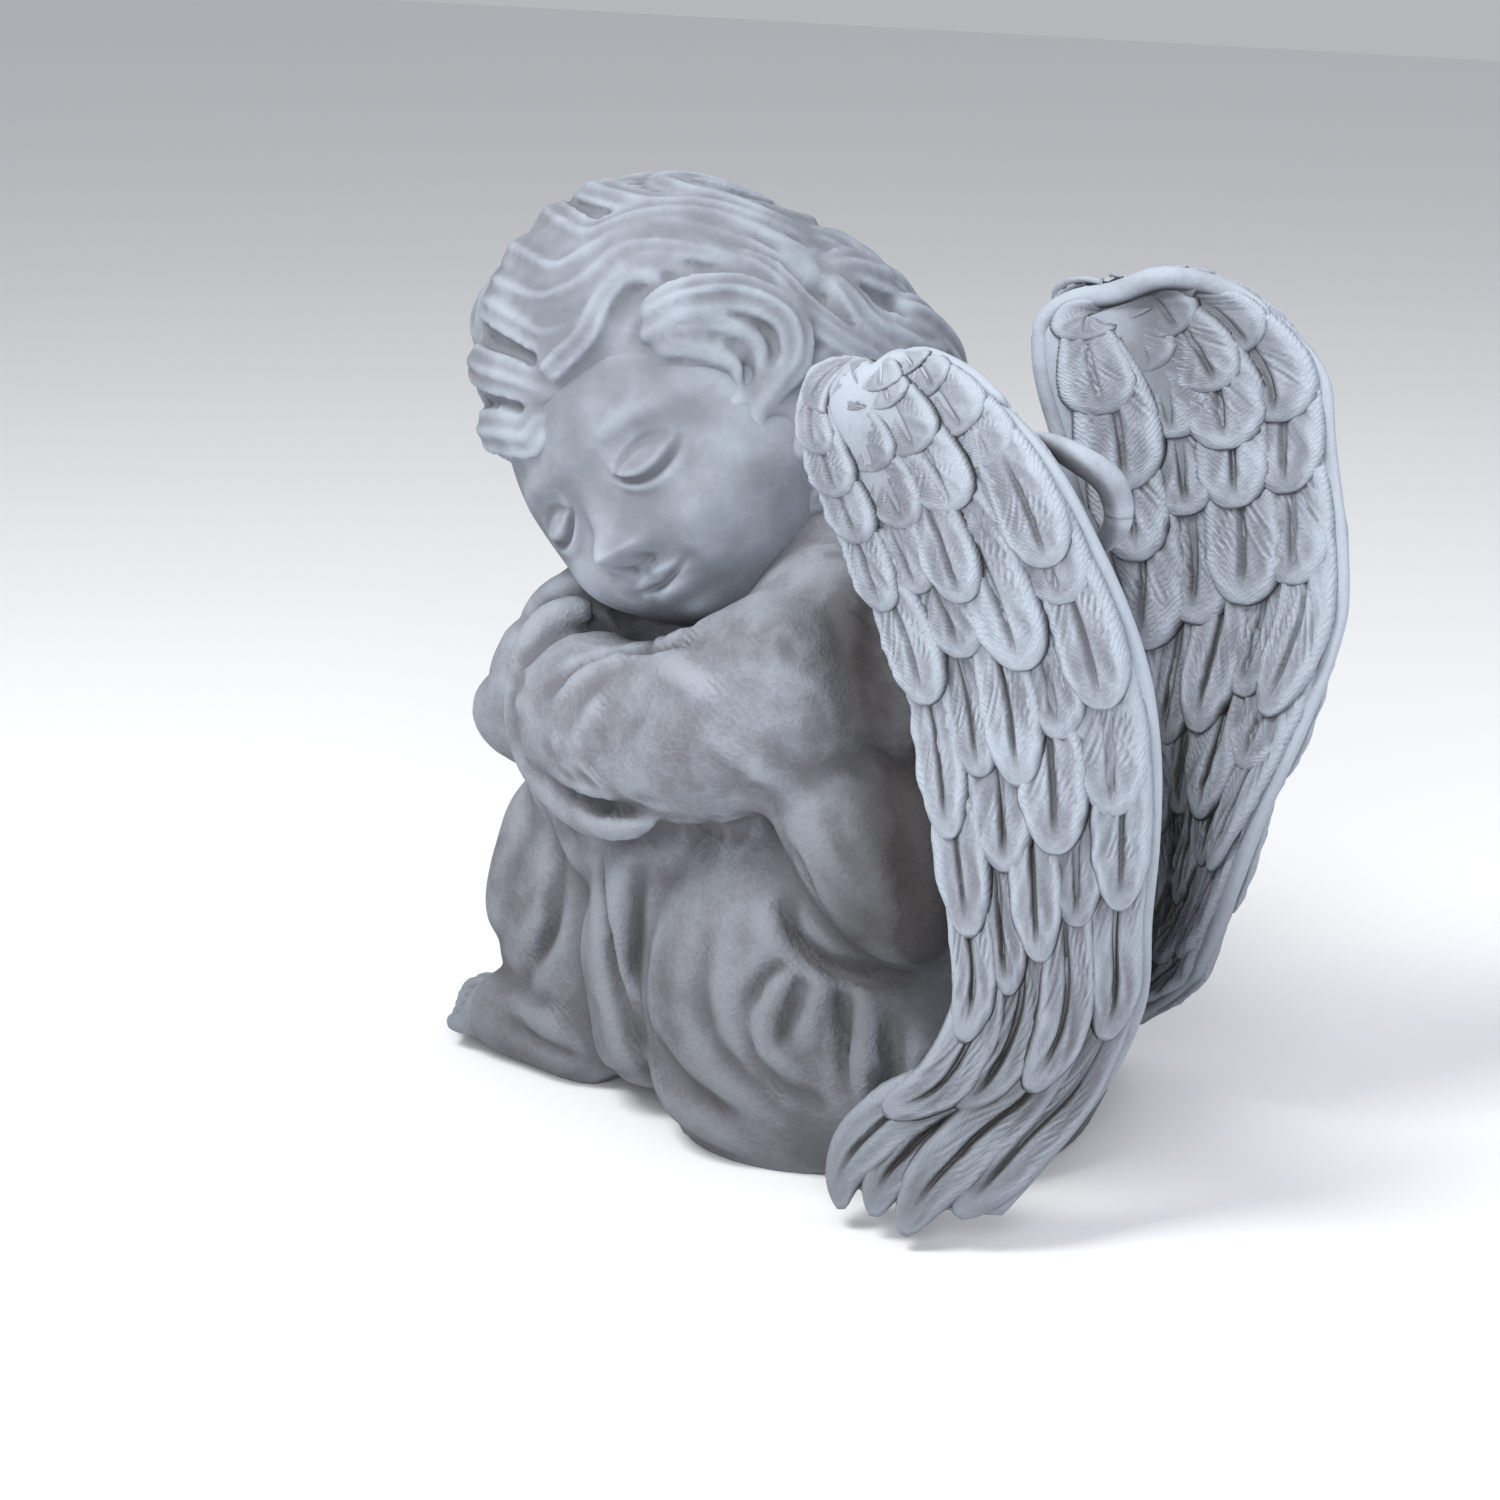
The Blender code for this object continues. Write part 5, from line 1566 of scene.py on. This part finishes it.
@dataclass
class CherubCasting:
    """The whole casting, fitted to the box of the solid that it stands for."""

    body: RobedBody = field(default_factory=RobedBody)
    head: Head = field(default_factory=Head)
    wings: tuple[Wing, Wing] = field(
        default_factory=lambda: (
            Wing(1, 1.5),
            Wing(-1, 6.0, front_forward=14.0, back_forward=16.0, shoulder_back=5.0, tip_forward=10.0),
        )
    )
    # Painted shade on the robe: a band along each wing's front edge and a patch on the torso's side
    shade_offset: tuple[float, float, float] = (0.0, -8.0, -3.0)
    shade_width: float = 17.0
    shade_strength: float = 1.1
    shaded_edge: tuple[float, float] = (0.20, 0.72)
    torso_shade_place: tuple[float, float, float] = (58.0, 48.0, 72.0)
    torso_stretch: tuple[float, float, float] = (1.0, 1.0, 1.3)
    torso_width: float = 24.0
    torso_strength: float = 0.75

    def fit(self, pieces: list[bpy.types.Object]) -> None:
        """Scale and move all pieces as one so that their box is the box of the CAD node.

        Args:
            pieces: The pieces in millimetres.
        """
        low_corner, high_corner = (np.array(corner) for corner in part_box(NODE))
        places = [read_points(piece.data) for piece in pieces]
        low = np.min([p.min(0) for p in places], axis=0)
        high = np.max([p.max(0) for p in places], axis=0)
        factor = (high_corner - low_corner) / (high - low)
        logger.info("fit factors %s", np.round(factor * 1000, 4))
        for piece, points in zip(pieces, places):
            write_points(piece.data, (points - low) * factor + low_corner)

    def shade(self, points: Array) -> Array:
        """Return the painted shade of the robe beside the wings.

        The darkness is the larger of two bell curves: of the distance to a wing's front edge, and
        of the stretched distance to a place on the torso.

        Args:
            points: Places of the robe in millimetres.

        Returns:
            The painted shade at each place.
        """
        darkness = np.zeros(len(points))
        for wing in self.wings:
            line = wing.edge(wing.front, np.linspace(*self.shaded_edge, 30))[:, [2, 0, 1]] + self.shade_offset
            line = line * (wing.side, 1, 1)
            apart = np.linalg.norm(points[:, None] - line[None], axis=2).min(1)
            darkness = np.maximum(darkness, self.shade_strength * bell(apart, self.shade_width))
            away = (points - np.array(self.torso_shade_place) * (wing.side, 1, 1)) / self.torso_stretch
            torso = np.linalg.norm(away, axis=1)
            darkness = np.maximum(darkness, self.torso_strength * bell(torso, self.torso_width))
        return darkness

    def store_patina_and_shade(self, pieces: list[bpy.types.Object], shade: Array) -> None:
        """Store how far each point stands out, and the painted shade and patina of its recess.

        Args:
            pieces: The pieces in metres, the body first.
            shade: The painted shade of the body beside the wings, at each of its points.
        """
        recesses = Recesses().measure([piece.data for piece in pieces])
        # The painted shade beside the wings joins the body's recess shade
        recesses[0] = np.maximum(recesses[0], shade)
        for piece, recess_shade_and_patina in zip(pieces, recesses):
            add_values(piece.data, "raised", convexity(piece.data))
            add_values(piece.data, "recess_shade_and_patina", recess_shade_and_patina)

    def build(self) -> list[bpy.types.Object]:
        """Build the pieces, cut them flat at the ground, fit them to the box, and store their patina and
        painted shade.

        Returns:
            The objects of the body, the head, the hair and the two wings.
        """
        pieces = [self.body.build(), *self.head.build(), *(wing.build() for wing in self.wings)]
        for piece in pieces:
            cut_flat(piece)
            close_up(piece)
        shade = self.shade(read_points(pieces[0].data))
        self.fit(pieces)
        self.store_patina_and_shade(pieces, shade)
        return pieces


# Studio


@dataclass
class Studio:
    """A pale floor, soft light and the camera at the photograph's viewing angle."""

    camera_place: tuple[float, float, float] = (0.7591, 0.4781, 0.3506)
    camera_aim: tuple[float, float, float] = (0.0405, 0.0024, 0.1057)
    camera_roll: float = math.radians(0.15)
    lens: float = 86.78
    floor_half: float = 3.0
    middle: tuple[float, float, float] = (0.0, 0.0, 0.11)
    surroundings: float = 0.50

    def floor(self) -> bpy.types.Object:
        """Add the floor, a square in the plane z = 0.

        Returns:
            The object of the floor.
        """
        half = self.floor_half
        mesh = bpy.data.meshes.new("floor")
        corners = [(-half, -half, 0), (half, -half, 0), (half, half, 0), (-half, half, 0)]
        mesh.from_pydata(corners, [], [(0, 1, 2, 3)])
        floor = bpy.data.objects.new("floor", mesh)
        bpy.context.scene.collection.objects.link(floor)
        material = bpy.data.materials.new("pale_floor")
        material.use_nodes = True
        shader = material.node_tree.nodes["Principled BSDF"]
        shader.inputs["Base Color"].default_value = (0.86, 0.86, 0.87, 1.0)
        shader.inputs["Roughness"].default_value = 0.9
        mesh.materials.append(material)
        return floor

    def light(
        self,
        name: str,
        place: tuple[float, float, float],
        size: float,
        power: float,
        colour: tuple[float, float, float],
    ) -> None:
        """Add a square soft light that points at the middle of the figure.

        Args:
            name: The name of the light.
            place: Where it stands, in metres.
            size: The side of its square.
            power: Its power in watts.
            colour: Its colour.
        """
        data = bpy.data.lights.new(name, "AREA")
        data.size = size
        data.energy = power
        data.color = colour
        lamp = bpy.data.objects.new(name, data)
        lamp.location = place
        lamp.rotation_euler = (Vector(self.middle) - Vector(place)).to_track_quat("-Z", "Y").to_euler()
        bpy.context.scene.collection.objects.link(lamp)

    def build(self) -> None:
        """Add the floor, the lights, the pale surroundings and the camera."""
        self.floor()
        self.light("key", (0.62, -0.30, 1.15), 0.5, 12.5, (1.0, 0.99, 0.97))
        self.light("fill", (1.05, 0.52, 0.62), 0.7, 8.5, (0.95, 0.97, 1.0))
        self.light("rim", (-0.5, 0.7, 0.9), 0.8, 4.5, (0.92, 0.96, 1.0))
        world = bpy.data.worlds.new("studio")
        world.use_nodes = True
        world.node_tree.nodes["Background"].inputs["Color"].default_value = (0.93, 0.95, 1.0, 1.0)
        world.node_tree.nodes["Background"].inputs["Strength"].default_value = self.surroundings
        bpy.context.scene.world = world
        bpy.context.scene.view_settings.view_transform = "Standard"
        data = bpy.data.cameras.new("camera")
        data.lens = self.lens
        data.sensor_width = 36.0
        camera = bpy.data.objects.new("camera", data)
        camera.location = self.camera_place
        aim = Vector(self.camera_aim) - Vector(self.camera_place)
        level = aim.to_track_quat("-Z", "Y")
        camera.rotation_euler = (level @ Quaternion((0, 0, 1), self.camera_roll)).to_euler()
        bpy.context.scene.collection.objects.link(camera)
        bpy.context.scene.camera = camera


def main() -> None:
    """Build the casting and the studio round it."""
    logging.basicConfig(level=logging.INFO, format="%(name)s: %(message)s")
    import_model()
    crust, barbs = crust_group(), barb_group()
    materials = {zone: dress(finish, crust, barbs) for zone, finish in FINISHES.items()}
    for piece in CherubCasting().build():
        zones = read_faces(piece.data, "material_index")
        piece.data.materials.clear()
        for zone in Zone:
            piece.data.materials.append(materials[zone])
        piece.data.polygons.foreach_set("material_index", zones)
        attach(piece, "root")
        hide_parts(NODE)
        logger.info("%s: %d faces", piece.name, len(piece.data.polygons))
    Studio().build()


if __name__ == "__main__":
    main()
